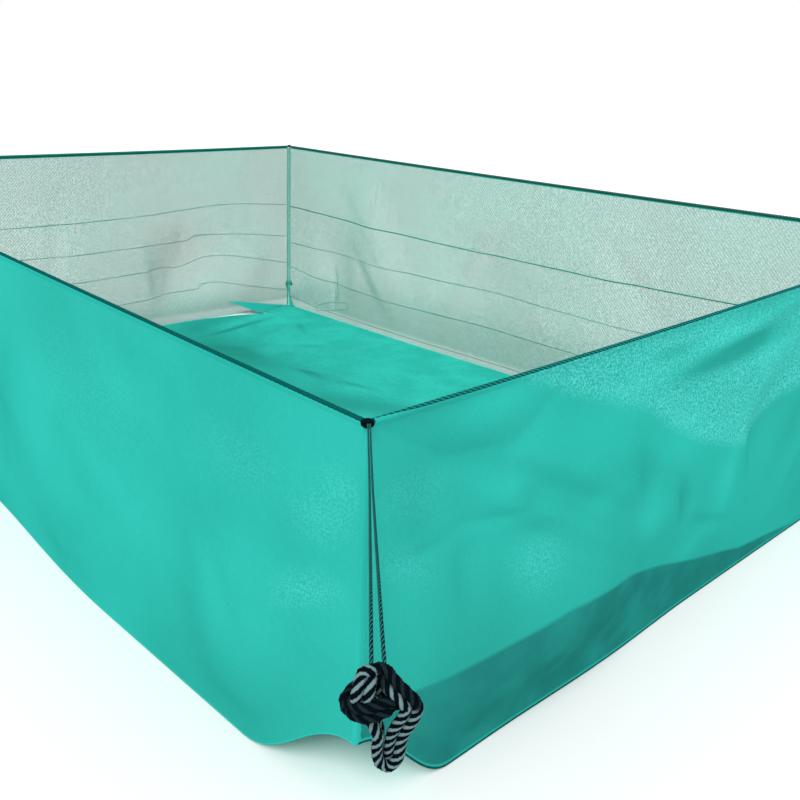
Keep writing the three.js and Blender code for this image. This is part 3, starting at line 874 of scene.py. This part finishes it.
def fold_depth(name, along, down):
    depth = np.zeros(np.broadcast(along, down).shape)
    for middle, level, half_width, half_height, out, lean in WALL_FOLDS[name]:
        centre = middle + lean * (down - level)
        depth = depth + out * bell((along - centre) / half_width) * bell((down - level) / half_height)
    depth = depth * fade(down, RIM_FADE)
    for along_a, down_a, along_b, down_b, half_width, out in CREASES[name]:
        start = np.array((along_a, down_a * RIM_HEIGHT))
        run = np.array((along_b, down_b * RIM_HEIGHT)) - start
        from_start = (along - start[0], down * RIM_HEIGHT - start[1])
        share = np.clip((from_start[0] * run[0] + from_start[1] * run[1]) / run.dot(run), 0, 1)
        distance = np.hypot(from_start[0] - share * run[0], from_start[1] - share * run[1])
        crest = out * bell(distance / half_width) * bell(CREASE_TAPER * (2 * share - 1))
        depth = depth + crest * fade(down, CREASE_FADE)
    room = np.minimum(along, wall_length(name) - along)
    depth = depth * fade(room, END_FADE) * fade(1 - down, HEM_FADE)
    if name in FACET_EDGES:
        level = read_off(FACET_EDGES[name], along)
        lowest = max(edge_down for _, edge_down in FACET_EDGES[name])
        above = np.clip(down / np.maximum(level, TINY), 0, 1)
        below = (1 - np.clip((down - level) / FACET_REACH, 0, 1)) ** 2
        depth = depth - FACET_DEPTH * level / lowest * np.where(down < level, above, below)
    return depth


def wall_surface(name, along, down):
    along, down = np.broadcast_arrays(np.asarray(along, float), np.asarray(down, float))
    top = rim_line(name, along)
    top[..., 2] -= RIM_ROPE / 2 + GAP
    bottom = foot_line(name, along)
    bottom[..., 2] += HEM_OVERLAP
    return lerp(top, bottom, down) + fold_depth(name, along, down)[..., None] * wall_out(name)


print("folds:", {name: len(WALL_FOLDS[name]) + len(CREASES[name]) for name in WALLS})

# %% Make a sheet from a grid of points
NET_THICKNESS = 0.0006


def grid_mesh(name, points, cloth, marks=None):
    """A quad mesh on rows of points, with its places on the flat cloth as UVs and marks as attributes."""
    rows, columns = points.shape[:2]
    corner = np.arange(rows * columns).reshape(rows, columns)
    around = (corner[:-1, :-1], corner[:-1, 1:], corner[1:, 1:], corner[1:, :-1])
    quads = np.stack(around, axis=-1).reshape(-1, 4)
    mesh = bpy.data.meshes.new(name)
    mesh.from_pydata(points.reshape(-1, 3).tolist(), [], quads.tolist())
    layer = mesh.uv_layers.new(name="cloth")
    layer.data.foreach_set("uv", cloth.reshape(-1, 2)[quads.reshape(-1)].astype(np.float32).reshape(-1))
    for label, values in (marks or {}).items():
        attribute = mesh.attributes.new(label, "FLOAT", "POINT")
        attribute.data.foreach_set("value", values.astype(np.float32).reshape(-1))
    mesh.polygons.foreach_set("use_smooth", np.ones(len(mesh.polygons), bool))
    sides = np.zeros(len(mesh.loops), np.int32)
    mesh.loops.foreach_get("edge_index", sides)
    mesh.edges.foreach_set("use_edge_sharp", np.bincount(sides, minlength=len(mesh.edges)) == 1)
    return mesh


def on_cloth(across, down):
    """Places on the flat cloth, from a row of distances across it and a column of distances down."""
    return np.stack(np.broadcast_arrays(across, down), axis=-1)


def add_sheet(mesh, material):
    """A sheet object with the net's thickness, half of it on each side."""
    mesh.materials.append(material)
    sheet = link_piece(mesh.name, mesh)
    solid = sheet.modifiers.new("thickness", "SOLIDIFY")
    solid.thickness = NET_THICKNESS
    solid.offset = 0.0
    return sheet


print("sheets:", NET_THICKNESS, "m thick")

# %% [markdown]
# ## Painted light and shade
# The walls carry painted pale glints in some places and painted shade in others, and the right one has a
# painted shadow band along its foot. Painted images could show that, but these marks are soft and few, so
# each is a row of a table. They become attributes of the net's points, and the finish mixes its tones by
# them.

# %% Place the marks on the walls
SHADOW_BAND_EDGE = [  # along the right wall, height of the painted shadow band over the ground
    (0.0, 0.250), (0.20, 0.258), (0.36, 0.278), (0.52, 0.290), (0.63, 0.278), (0.78, 0.260),
    (1.00, 0.200), (1.17, 0.150), (1.46, 0.070), (1.67, 0.045), (1.87, 0.015), (2.40, -0.05),
]
GLINT_EDGE = [  # along the right wall, share of the height down to which pale glints are painted
    (0.0, -0.10), (0.30, 0.0), (0.53, 0.12), (0.77, 0.225), (0.91, 0.33), (1.05, 0.41), (1.31, 0.51),
    (1.50, 0.40), (2.40, 0.25),
]
GLINT_STRENGTH = 0.68
GLINT_FADE = 0.05
GLINT_PATCHES = {  # painted pale glints: along, down, half width, half height, strength
    "front": [
        (0.05, 0.20, 0.10, 0.11, 0.20), (0.10, 0.31, 0.13, 0.12, 0.24), (0.13, 0.52, 0.15, 0.09, 0.30),
        (0.32, 0.22, 0.22, 0.13, 0.14), (0.90, 0.25, 0.45, 0.25, 0.10),
    ],
    "right": [(0.12, 0.22, 0.14, 0.12, 0.18), (0.10, 0.42, 0.14, 0.10, 0.20), (0.45, 0.50, 0.12, 0.12, 0.25)],
}
SHADE_PATCHES = {  # the same columns, for painted shade, with a strength below 0 where a part is painted lighter
    "front": [(0.32, 0.95, 0.68, 0.55, 0.41), (1.90, 0.30, 0.90, 0.50, 0.22)],
    "right": [
        (1.10, 0.50, 6.00, 3.00, 0.36), (0.22, 0.72, 0.48, 0.40, 0.37), (0.80, 0.60, 0.55, 0.36, 0.18),
        (1.55, 0.42, 0.22, 0.35, 0.16), (0.31, 0.55, 0.12, 0.20, 0.12), (0.40, 0.31, 0.07, 0.05, 0.20),
        (0.83, 0.42, 0.06, 0.07, 0.22), (0.99, 0.55, 0.04, 0.10, 0.24),
        (0.31, 0.03, 0.24, 0.12, -0.36), (0.60, 0.20, 0.42, 0.20, -0.36), (0.92, 0.34, 0.26, 0.16, -0.26),
        (1.22, 0.58, 0.16, 0.20, -0.40), (0.86, 0.54, 0.10, 0.12, -0.24), (0.11, 0.62, 0.12, 0.35, -0.16),
        (0.69, 0.42, 0.10, 0.08, -0.16), (1.07, 0.73, 0.10, 0.08, -0.20), (1.05, 0.09, 0.60, 0.16, -0.14),
        (1.36, 0.22, 0.22, 0.14, -0.20),
    ],
}
# A smooth streak where the glints give way to painted shade.
SMOOTH_STREAK = [  # the same columns
    (1.12, 0.130, 0.42, 0.075, 1.5), (0.84, 0.065, 0.14, 0.030, 0.6), (1.25, 0.030, 0.40, 0.060, 0.5),
]
STREAK_SHADE = 0.22
FLAT_SHADE = 0.06  # painted shade on the flat under the rim
FLAT_FADE = 0.010


def patches(across, down, rows):
    """The sum of soft oval patches."""
    total = np.zeros(np.broadcast(across, down).shape)
    for middle, level, half_width, half_height, strength in rows:
        distance = np.hypot((across - middle) / half_width, (down - level) / half_height)
        total = total + strength * bell(distance)
    return total


def wall_marks(name, points, along, down):
    """How strong the painted glints and the painted shade are at each point of a wall, and how far each point
    lies under the painted shadow band's edge.
    """
    painted_glints = patches(along, down, GLINT_PATCHES.get(name, []))
    painted_shade = patches(along, down, SHADE_PATCHES.get(name, []))
    marks = {"painted_glints": painted_glints, "painted_shade": painted_shade}
    if name == BARE_SIDE:
        streak = np.clip(patches(along, down, SMOOTH_STREAK), 0, 1)
        # A painted highlight: pale glints over the upper part of the right wall.
        pale = GLINT_STRENGTH * fade(read_off(GLINT_EDGE, along) - down, GLINT_FADE)
        flat = fade(read_off(FACET_EDGES[name], along) - down, FLAT_FADE)
        marks["painted_glints"] = (painted_glints + pale) * (1 - streak)
        marks["painted_shade"] = painted_shade + streak * STREAK_SHADE + flat * FLAT_SHADE
        marks["shadow_band_depth"] = read_off(SHADOW_BAND_EDGE, along) - points[..., 2]
    return marks


print("worn patches:", {name: len(rows) for name, rows in GLINT_PATCHES.items()})

# %% [markdown]
# ## The yarns
# The net is knitted from round yarns a few millimetres apart. On the two slack far walls the ground shows
# between them, and at a slant they close up. A film with a pattern of gaps would look the same from all
# sides, so there the yarns are real: a tree lays straight lines in the flat cloth, looks up each point on
# the panel by its UV, and sweeps a thin section along. The near walls are drawn tight and closed, and
# their yarns are only relief.

# %% Make the tree of the net's yarns
YARN = {"Pitch": 0.0040, "Yarn": 0.0013, "Jitter": 0.0004}
YARN_SIDES = 3
YARN_SEED = 11


def yarn_maker():
    sizes = dict.fromkeys(("Width", "Height", *YARN), "Float")
    knit = Maker("net_yarns", {**sizes, "Steps": "Int", "Material": "Material"})
    pitch = knit.given("Pitch")
    reach = knit.given("Jitter")
    stride = knit.node("ShaderNodeCombineXYZ", {"X": pitch})
    roots = {"Count": knit.given("Width") / pitch - 1, "Start Location": stride, "Offset": stride}
    row = knit.node("GeometryNodeMeshLine", roots, mode="OFFSET")
    foot = knit.node("ShaderNodeCombineXYZ", {"Y": knit.given("Height")})
    line = knit.node("GeometryNodeCurvePrimitiveLine", {"End": foot}, mode="POINTS")
    steps = {"Curve": line, "Count": knit.given("Steps")}
    stepped = knit.node("GeometryNodeResampleCurve", steps, mode="COUNT")
    laid = knit.node("GeometryNodeInstanceOnPoints", {"Points": row, "Instance": stepped})
    flat = knit.node("GeometryNodeRealizeInstances", {"Geometry": laid})
    yarn_number = knit.node("GeometryNodeCurveOfPoint")
    draw = {2: 0 - reach, 3: reach, "ID": yarn_number, "Seed": YARN_SEED}
    shift = knit.node("FunctionNodeRandomValue", draw, 1, data_type="FLOAT")
    place = knit.node("GeometryNodeInputPosition")
    aside = knit.node("ShaderNodeCombineXYZ", {"X": shift})
    moved = knit.node("ShaderNodeVectorMath", {0: place, 1: aside}, operation="ADD")
    cloth = knit.node("GeometryNodeInputNamedAttribute", {"Name": "cloth"}, data_type="FLOAT_VECTOR")
    look_up = {"Mesh": knit.given("Geometry"), "Value": place, "UV Map": cloth, "Sample UV": moved}
    on_panel = knit.node("GeometryNodeSampleUVSurface", look_up, data_type="FLOAT_VECTOR")
    hung = knit.node("GeometryNodeSetPosition", {"Geometry": flat, "Position": on_panel})
    circle = {"Resolution": YARN_SIDES, "Radius": knit.given("Yarn") / 2}
    ring = knit.node("GeometryNodeCurvePrimitiveCircle", circle, mode="RADIUS")
    knit.finish(knit.node("GeometryNodeCurveToMesh", {"Curve": hung, "Profile Curve": ring}))
    return knit


net_yarns = yarn_maker()
print("yarn tree:", len(net_yarns.tree.nodes), "nodes")

# %% [markdown]
# ## The walls
# Along the rim the net is turned over and sewn down, so an apron of doubled net lies against the rope's
# outer side, scalloped between its stitches. It could be a bump on the wall, but it shows in the outline,
# so it is a narrow sheet of its own. Each wall below it is the finely divided sheet, and a sheer one
# carries its yarns.

# %% Fold the net over the rim rope
APRON = {"gap": 0.0007, "turn": -12, "scallop": 9, "pitch": 0.012, "step": 0.0030}  # angles in degrees
APRON_ARC, APRON_FALL = 3, 3  # rows on the rope and rows below it
APRON_DROP = {"front": 0.009, "right": 0.009, "back": 0.006, "left": 0.006}  # down from the rope's middle
APRON_TOP = {  # how far up the rope's outer side the fold reaches, in degrees: along, angle
    "front": [(0.0, -8), (3.1, -8)],
    "right": [(0.0, 60), (0.03, 48), (0.10, 10), (0.22, -3), (2.4, -6)],
    "back": [(0.0, 20), (3.2, 20)],
    "left": [(0.0, 20), (2.3, 20)],
}


def add_apron(name):
    """The net's upper edge, laid against the outer side of the rim rope and running down into the wall."""
    along = places(ROPE_END, wall_length(name) - ROPE_END, APRON["step"])
    scallops = np.abs(np.cos(np.pi * along / APRON["pitch"])) * APRON["scallop"]
    top = read_off(APRON_TOP[name], along) + scallops
    out = wall_out(name)
    middle = rim_line(name, along)
    rows = []
    for share in np.linspace(0, 1, APRON_ARC + 1):
        angle = np.radians(top + (APRON["turn"] - top) * share)[:, None]
        rows.append(middle + (np.cos(angle) * out + np.sin(angle) * UP) * (RIM_ROPE / 2 + APRON["gap"]))
    foot = wall_surface(name, along, APRON_DROP[name] / RIM_HEIGHT) - out * APRON["gap"]
    edge = rows[-1]
    for share in np.linspace(0, 1, APRON_FALL + 1)[1:]:
        rows.append(edge + (foot - edge) * share)
    points = np.stack(rows)
    marks = wall_marks(name, points, along, np.zeros_like(points[..., 2]))
    mesh = grid_mesh(f"rim_apron_{name}", points, on_cloth(along, points[..., 2]), marks)
    return place_piece(add_sheet(mesh, finishes["folded_net"]), "net")


print("apron:", APRON_ARC + APRON_FALL + 1, "rows of points")

# %% Hang the walls
PANEL_END = 0.003  # from a corner to the end of a panel, under the corner's seam
CLOSED = {  # the grid and how it narrows towards the near corner, then what the finish asks for
    "columns": 180, "rows": 80, "ease": 1.35, "tones": "near", "grain": 0.1,
    "gap": 0.90, "weft": 0.06, "fold": 0.98, "hatch": 0.0, "mottle": 0.1, "thin": 0.0,
}
SHEER = {
    "columns": 150, "rows": 40, "ease": 1.0, "tones": "far", "grain": 0.1,
    "gap": 0.20, "weft": 0.36, "fold": 0.1, "hatch": 0.14, "mottle": 0.35, "thin": 0.7,
}
COVERS = {"front": CLOSED, "right": {**CLOSED, "tones": "lit_near"}, "back": SHEER, "left": SHEER}


def add_wall(name):
    cover = COVERS[name]
    width = wall_length(name) - 2 * PANEL_END
    height = RIM_HEIGHT - RIM_ROPE / 2 - HEM_OVERLAP
    across = np.linspace(0, 1, cover["columns"] + 1)[None, :] ** cover["ease"]
    down = np.linspace(0, 1, cover["rows"] + 1)[:, None] ** cover["ease"]
    along = PANEL_END + width * across
    points = wall_surface(name, along, down)
    marks = wall_marks(name, points, along, down)
    mesh = grid_mesh(f"net_panel_{name}", points, on_cloth(width * across, height * down), marks)
    details = [add_apron(name)]
    if cover is SHEER:
        sizes = {**YARN, "Width": width, "Height": height, "Steps": cover["rows"] + 1}
        sizes["Material"] = finishes["yarn"]
        details.append(place_piece(net_yarns.grow(f"net_yarns_{name}", mesh.copy(), sizes), "net"))
    panel = add_sheet(mesh, net_finish(f"net_{name}", height, cover))
    place_piece(panel, "net", f"net_{name}")
    print("wall", name, "flat", round(width, 3), "by", round(height, 3), "m")


for wall_name in WALLS:
    add_wall(wall_name)

# %% [markdown]
# ## The floor
# The floor lies on the ground between the four hem lines, with low ridges where the net is slack and with
# its near corner drawn up. A flat sheet would part from the hem there. A surface that blends the four
# lines meets them everywhere.

# %% Lay the floor
FLOOR_RIDGES = [  # x, y, half length, half width, turn from X in degrees, rise
    (-1.385, 0.800, 0.330, 0.150, 100, 0.022),
    (-1.040, 0.720, 0.420, 0.120, 118, 0.026),
    (-0.620, 0.300, 0.420, 0.150, 40, 0.016),
    (0.760, -0.720, 0.380, 0.140, 150, 0.018),
    (0.900, 0.620, 0.380, 0.150, 30, 0.016),
    (-1.220, 0.600, 0.400, 0.035, 102, 0.010),
    (-0.900, 0.470, 0.300, 0.060, 60, 0.010),
    (-0.400, 0.450, 0.260, 0.050, 20, 0.008),
    (-0.230, 0.475, 0.200, 0.045, 15, 0.008),
]
FLOOR_SHADE = [  # painted shade along the floor's creases and towards its far left: the same columns, with strength in place of rise
    (-0.70, 0.20, 1.50, 1.00, 3, 0.46),
    (-0.95, 0.25, 0.60, 0.42, 0, 0.38),
    (-0.45, 0.30, 0.45, 0.24, 0, 0.22),
    (-1.45, 0.55, 0.40, 0.16, 100, 0.42),
    (-0.93, 0.37, 0.28, 0.10, 10, 0.40),
    (-1.27, 0.62, 0.34, 0.030, 97, 0.75),
    (-0.46, 0.415, 0.14, 0.035, 12, 0.54),
    (-0.245, 0.475, 0.17, 0.030, 19, 0.48),
    (-0.03, 0.35, 0.45, 0.17, 31, 0.54),
    (-0.80, 0.70, 0.13, 0.05, 50, 0.34),
    (-1.06, 0.85, 0.10, 0.04, 150, 0.45),
    (0.55, -0.55, 0.50, 0.35, 0, 0.20),
    (-1.30, 0.35, 0.45, 0.30, 0, 0.22),
]
FLOOR_BITE = [  # y, how far the floor's left edge is drawn in
    (0.56, 0.0), (0.70, 0.014), (0.80, 0.042), (0.88, 0.080), (0.91, 0.070), (0.95, 0.0),
]
BITE_REACH = 0.1  # share of the floor's length over which the bite dies away
FLOOR_COVER = {**CLOSED, "columns": 150, "rows": 112, "tones": "floor", "grain": 0.5, "patch_scale": 5.0}
PLEATS = [  # three corners of a standing fold: where it starts, its free corner and its heel
    ((-1.496, 1.085, 0.004), (-1.492, 0.690, 0.085), (-1.424, 0.872, 0.004)),
    ((-1.492, 1.110, 0.095), (-1.436, 1.106, 0.004), (-1.474, 1.108, 0.004)),
]
PLEAT_GRID = 12
PLEAT_SWELL = 0.006


def ridges(x, y, rows):
    """The sum of long soft ridges."""
    total = np.zeros(np.shape(x))
    for ridge_x, ridge_y, half_length, half_width, turn, height in rows:
        turn = math.radians(turn)
        along = (x - ridge_x) * math.cos(turn) + (y - ridge_y) * math.sin(turn)
        across = (y - ridge_y) * math.cos(turn) - (x - ridge_x) * math.sin(turn)
        total = total + height * bell(along / half_length) * bell(across / half_width)
    return total


def floor_rise(x, y):
    room = np.minimum(LENGTH / 2 - np.abs(x), WIDTH / 2 - np.abs(y))
    return ridges(x, y, FLOOR_RIDGES) * fade(room, END_FADE / 2)


def floor_surface(to_left, to_back):
    to_left, to_back = np.broadcast_arrays(to_left, to_back)

    def edge(name, share):
        return foot_line(name, share * wall_length(name), FLOOR_INSET)

    foot = {name: foot_corner(name, FLOOR_INSET) for name in CORNERS}
    between = lerp(edge("front", to_left), edge("back", to_left), to_back)
    sideways = lerp(edge("right", to_back), edge("left", to_back), to_left)
    front_ends = lerp(foot["frontRight"], foot["frontLeft"], to_left)
    back_ends = lerp(foot["backRight"], foot["backLeft"], to_left)
    points = between + sideways - lerp(front_ends, back_ends, to_back)
    x, y = points[..., 0], points[..., 1]
    points[..., 2] = ground_lift(x, y) + floor_rise(x, y) + FLOOR_LIFT
    points[..., 0] += read_off(FLOOR_BITE, y) * fade(to_left - (1 - BITE_REACH), BITE_REACH)
    return points


def add_pleats():
    """Standing folds of the floor's net at the far foot."""
    pleats = []
    away = np.linspace(0, 1, PLEAT_GRID + 1)[:, None]
    turn = np.linspace(0, 1, PLEAT_GRID + 1)[None, :]
    for number, corners in enumerate(PLEATS):
        start, free, heel = np.array(corners)
        edge = lerp(free, heel, turn)
        points = start + (edge - start) * away[..., None]
        normal = np.cross(free - start, heel - start)
        swell = PLEAT_SWELL * np.sin(np.pi * turn) * np.sin(np.pi * away)
        points = points + swell[..., None] * normal / np.linalg.norm(normal)
        mesh = grid_mesh(f"floor_pleat_{number}", points, on_cloth(away, turn))
        pleats.append(place_piece(add_sheet(mesh, finishes["folded_net"]), "net"))
    return pleats


def add_floor():
    to_left = np.linspace(0, 1, FLOOR_COVER["columns"] + 1)[None, :]
    to_back = np.linspace(0, 1, FLOOR_COVER["rows"] + 1)[:, None]
    points = floor_surface(to_left, to_back)
    length, width = LENGTH - 2 * FLOOR_INSET, WIDTH - 2 * FLOOR_INSET
    marks = {"painted_shade": ridges(points[..., 0], points[..., 1], FLOOR_SHADE)}
    mesh = grid_mesh("net_panel_floor", points, on_cloth(width * to_back, length * to_left), marks)
    floor = add_sheet(mesh, net_finish("net_floor", length, FLOOR_COVER))
    place_piece(floor, "net", "net_floor")
    add_pleats()
    print("floor", round(length, 3), "by", round(width, 3), "m")


add_floor()

# %% [markdown]
# ## The seams
# A strip of doubled net is folded round each upright corner. The two far walls also show the lines where
# their lengths of net are sewn together. Dark lines in the finish would lie flat from the side, so the
# strips are small sheets with puckers, and the lines are thin rolls that the rope tree makes along the
# wall.

# %% Sew the corner seams
SEAM_GRID = {"columns": 8, "rows": 120}
SEAM_TOP = 0.006 / RIM_HEIGHT
SEAM_PROUD = 0.0008  # how far a seam's middle lies outside the walls, and its edges inside
PUCKERS = {"count": 34, "depth": 0.0004, "slant": 5}  # the slant in radians over each leg


def from_corner(name, corner, distance, down):
    along = distance if WALLS[name]["ends"][0] == corner else wall_length(name) - distance
    return wall_surface(name, along, down)


def add_corner_seams():
    for corner in CORNERS:
        first, second = walls_at(corner)
        across = np.linspace(-1, 1, SEAM_GRID["columns"] + 1)
        down = SEAM_TOP + (1 - SEAM_TOP) * np.linspace(0, 1, SEAM_GRID["rows"] + 1)
        columns = []
        for share in across:
            name = first if share < 0 else second
            strip = from_corner(name, corner, abs(share) * SEAM_LEG, down)
            phase = TURN * PUCKERS["count"] * down + PUCKERS["slant"] * share
            pucker = np.cos(phase) * PUCKERS["depth"]
            proud = (pucker + 2 * SEAM_PROUD) * (1 - share**2) - SEAM_PROUD
            columns.append(strip + np.outer(proud, outward(corner)))
        points = np.stack(columns, axis=1)
        cloth = on_cloth(across * SEAM_LEG, RIM_HEIGHT * down[:, None])
        mesh = grid_mesh(f"seam_strip_{corner}", points, cloth)
        strip = add_sheet(mesh, finishes["far_seam" if corner == FAR_CORNER else "near_seam"])
        place_piece(strip, "net", f"corner_seam_{corner}")


add_corner_seams()

# %% Sew the lines across the far walls
SEWN_LINES = {  # kind of rope, then points: along, share of the height down
    "back": [
        ("thick_line", [(0.02, 0.370), (1.34, 0.392), (1.96, 0.392), (3.13, 0.360)]),
        ("thin_line", [(0.02, 0.590), (1.20, 0.597), (3.13, 0.590)]),
        ("thin_line", [(0.02, 0.790), (2.55, 0.786), (3.13, 0.748)]),
        ("thin_line", [(0.02, 0.970), (2.55, 0.970), (3.13, 0.944)]),
        ("thread", [(2.90, 0.985), (2.89, 0.950), (2.77, 0.900),
                    (2.65, 0.880), (2.66, 0.920), (2.90, 0.985)]),
        ("pleat", [(2.82, 0.755), (2.78, 0.800), (2.74, 0.955)]),
    ],
    "left": [
        ("thin_line", [(0.02, 0.340), (1.23, 0.348), (1.80, 0.316), (2.22, 0.350)]),
        ("thin_line", [(0.02, 0.500), (1.22, 0.518), (1.59, 0.522),
                       (1.66, 0.488), (1.91, 0.502), (2.22, 0.550)]),
        ("thin_line", [(0.02, 0.650), (1.40, 0.672), (1.58, 0.694),
                       (1.72, 0.626), (1.88, 0.634), (2.22, 0.720)]),
        ("thin_line", [(0.02, 0.830), (1.52, 0.833), (1.69, 0.796),
                       (1.78, 0.787), (1.91, 0.819), (2.22, 0.903)]),
    ],
}
LINE_STEPS = 40  # between two points of a sewn line
SEAM_LINE = 0.6  # share of a seam's leg at which its line is sewn


def add_sewn_lines():
    for name, lines in SEWN_LINES.items():
        for number, (kind, points) in enumerate(lines):
            along, down = smooth_line(points, LINE_STEPS).T
            route = wall_surface(name, along, down) - wall_out(name) * NET_THICKNESS
            finish = "far_seam" if kind == "pleat" else "stitched_line"
            place_piece(lay_rope(f"sewn_line_{name}_{number}", kind, route, finish), "net")
    for corner in CORNERS:
        down = np.linspace(SEAM_TOP, 1, LINE_STEPS)
        route = from_corner(walls_at(corner)[1], corner, SEAM_LEG * SEAM_LINE, down)
        route = route - outward(corner) * 2 * NET_THICKNESS
        place_piece(lay_rope(f"seam_line_{corner}", "thin_line", route, "stitched_line"), "net")
    print("sewn lines:", {name: len(lines) for name, lines in SEWN_LINES.items()})


add_sewn_lines()

# %% [markdown]
# ## The stage
# A pale floor, white surroundings and one soft sun give the even light of the photograph. The sun stands
# behind the camera, a little to its left. A sun alone would leave the inside of the cage dark. The white
# surroundings fill its shadows, so the teal stays clear there too.

# %% Set the stage and the light
STAGE_SIDE = 60.0
STAGE_TONE = (0.83, 0.83, 0.83)
STAGE_ROUGHNESS = 0.9
WHITE = (1.0, 1.0, 1.0)
SUN_DIRECTION = Vector((-0.35, 0.75, -0.95))  # the way the light travels
SUN_STRENGTH = 2.1
SUN_ANGLE = math.radians(25)


def add_stage():
    half = STAGE_SIDE / 2
    mesh = bpy.data.meshes.new("stage")
    corners = [(-half, -half, 0), (half, -half, 0), (half, half, 0), (-half, half, 0)]
    mesh.from_pydata(corners, [], [(0, 1, 2, 3)])
    ground = Finish("stage", Base_Color=opaque(STAGE_TONE), Roughness=STAGE_ROUGHNESS)
    mesh.materials.append(ground.material)
    link_piece("stage", mesh)


def add_light():
    world = bpy.data.worlds.new("white_surroundings")
    world.use_nodes = True
    world.node_tree.nodes["Background"].inputs["Color"].default_value = opaque(WHITE)
    bpy.context.scene.world = world
    sun = bpy.data.lights.new("sun", "SUN")
    sun.energy = SUN_STRENGTH
    sun.angle = SUN_ANGLE
    lamp = bpy.data.objects.new("sun", sun)
    lamp.rotation_euler = SUN_DIRECTION.to_track_quat("-Z", "Y").to_euler()
    bpy.context.scene.collection.objects.link(lamp)


add_stage()
add_light()
bpy.context.scene.view_settings.view_transform = "Standard"
print("sun:", SUN_STRENGTH, "over a stage of", STAGE_SIDE, "m")
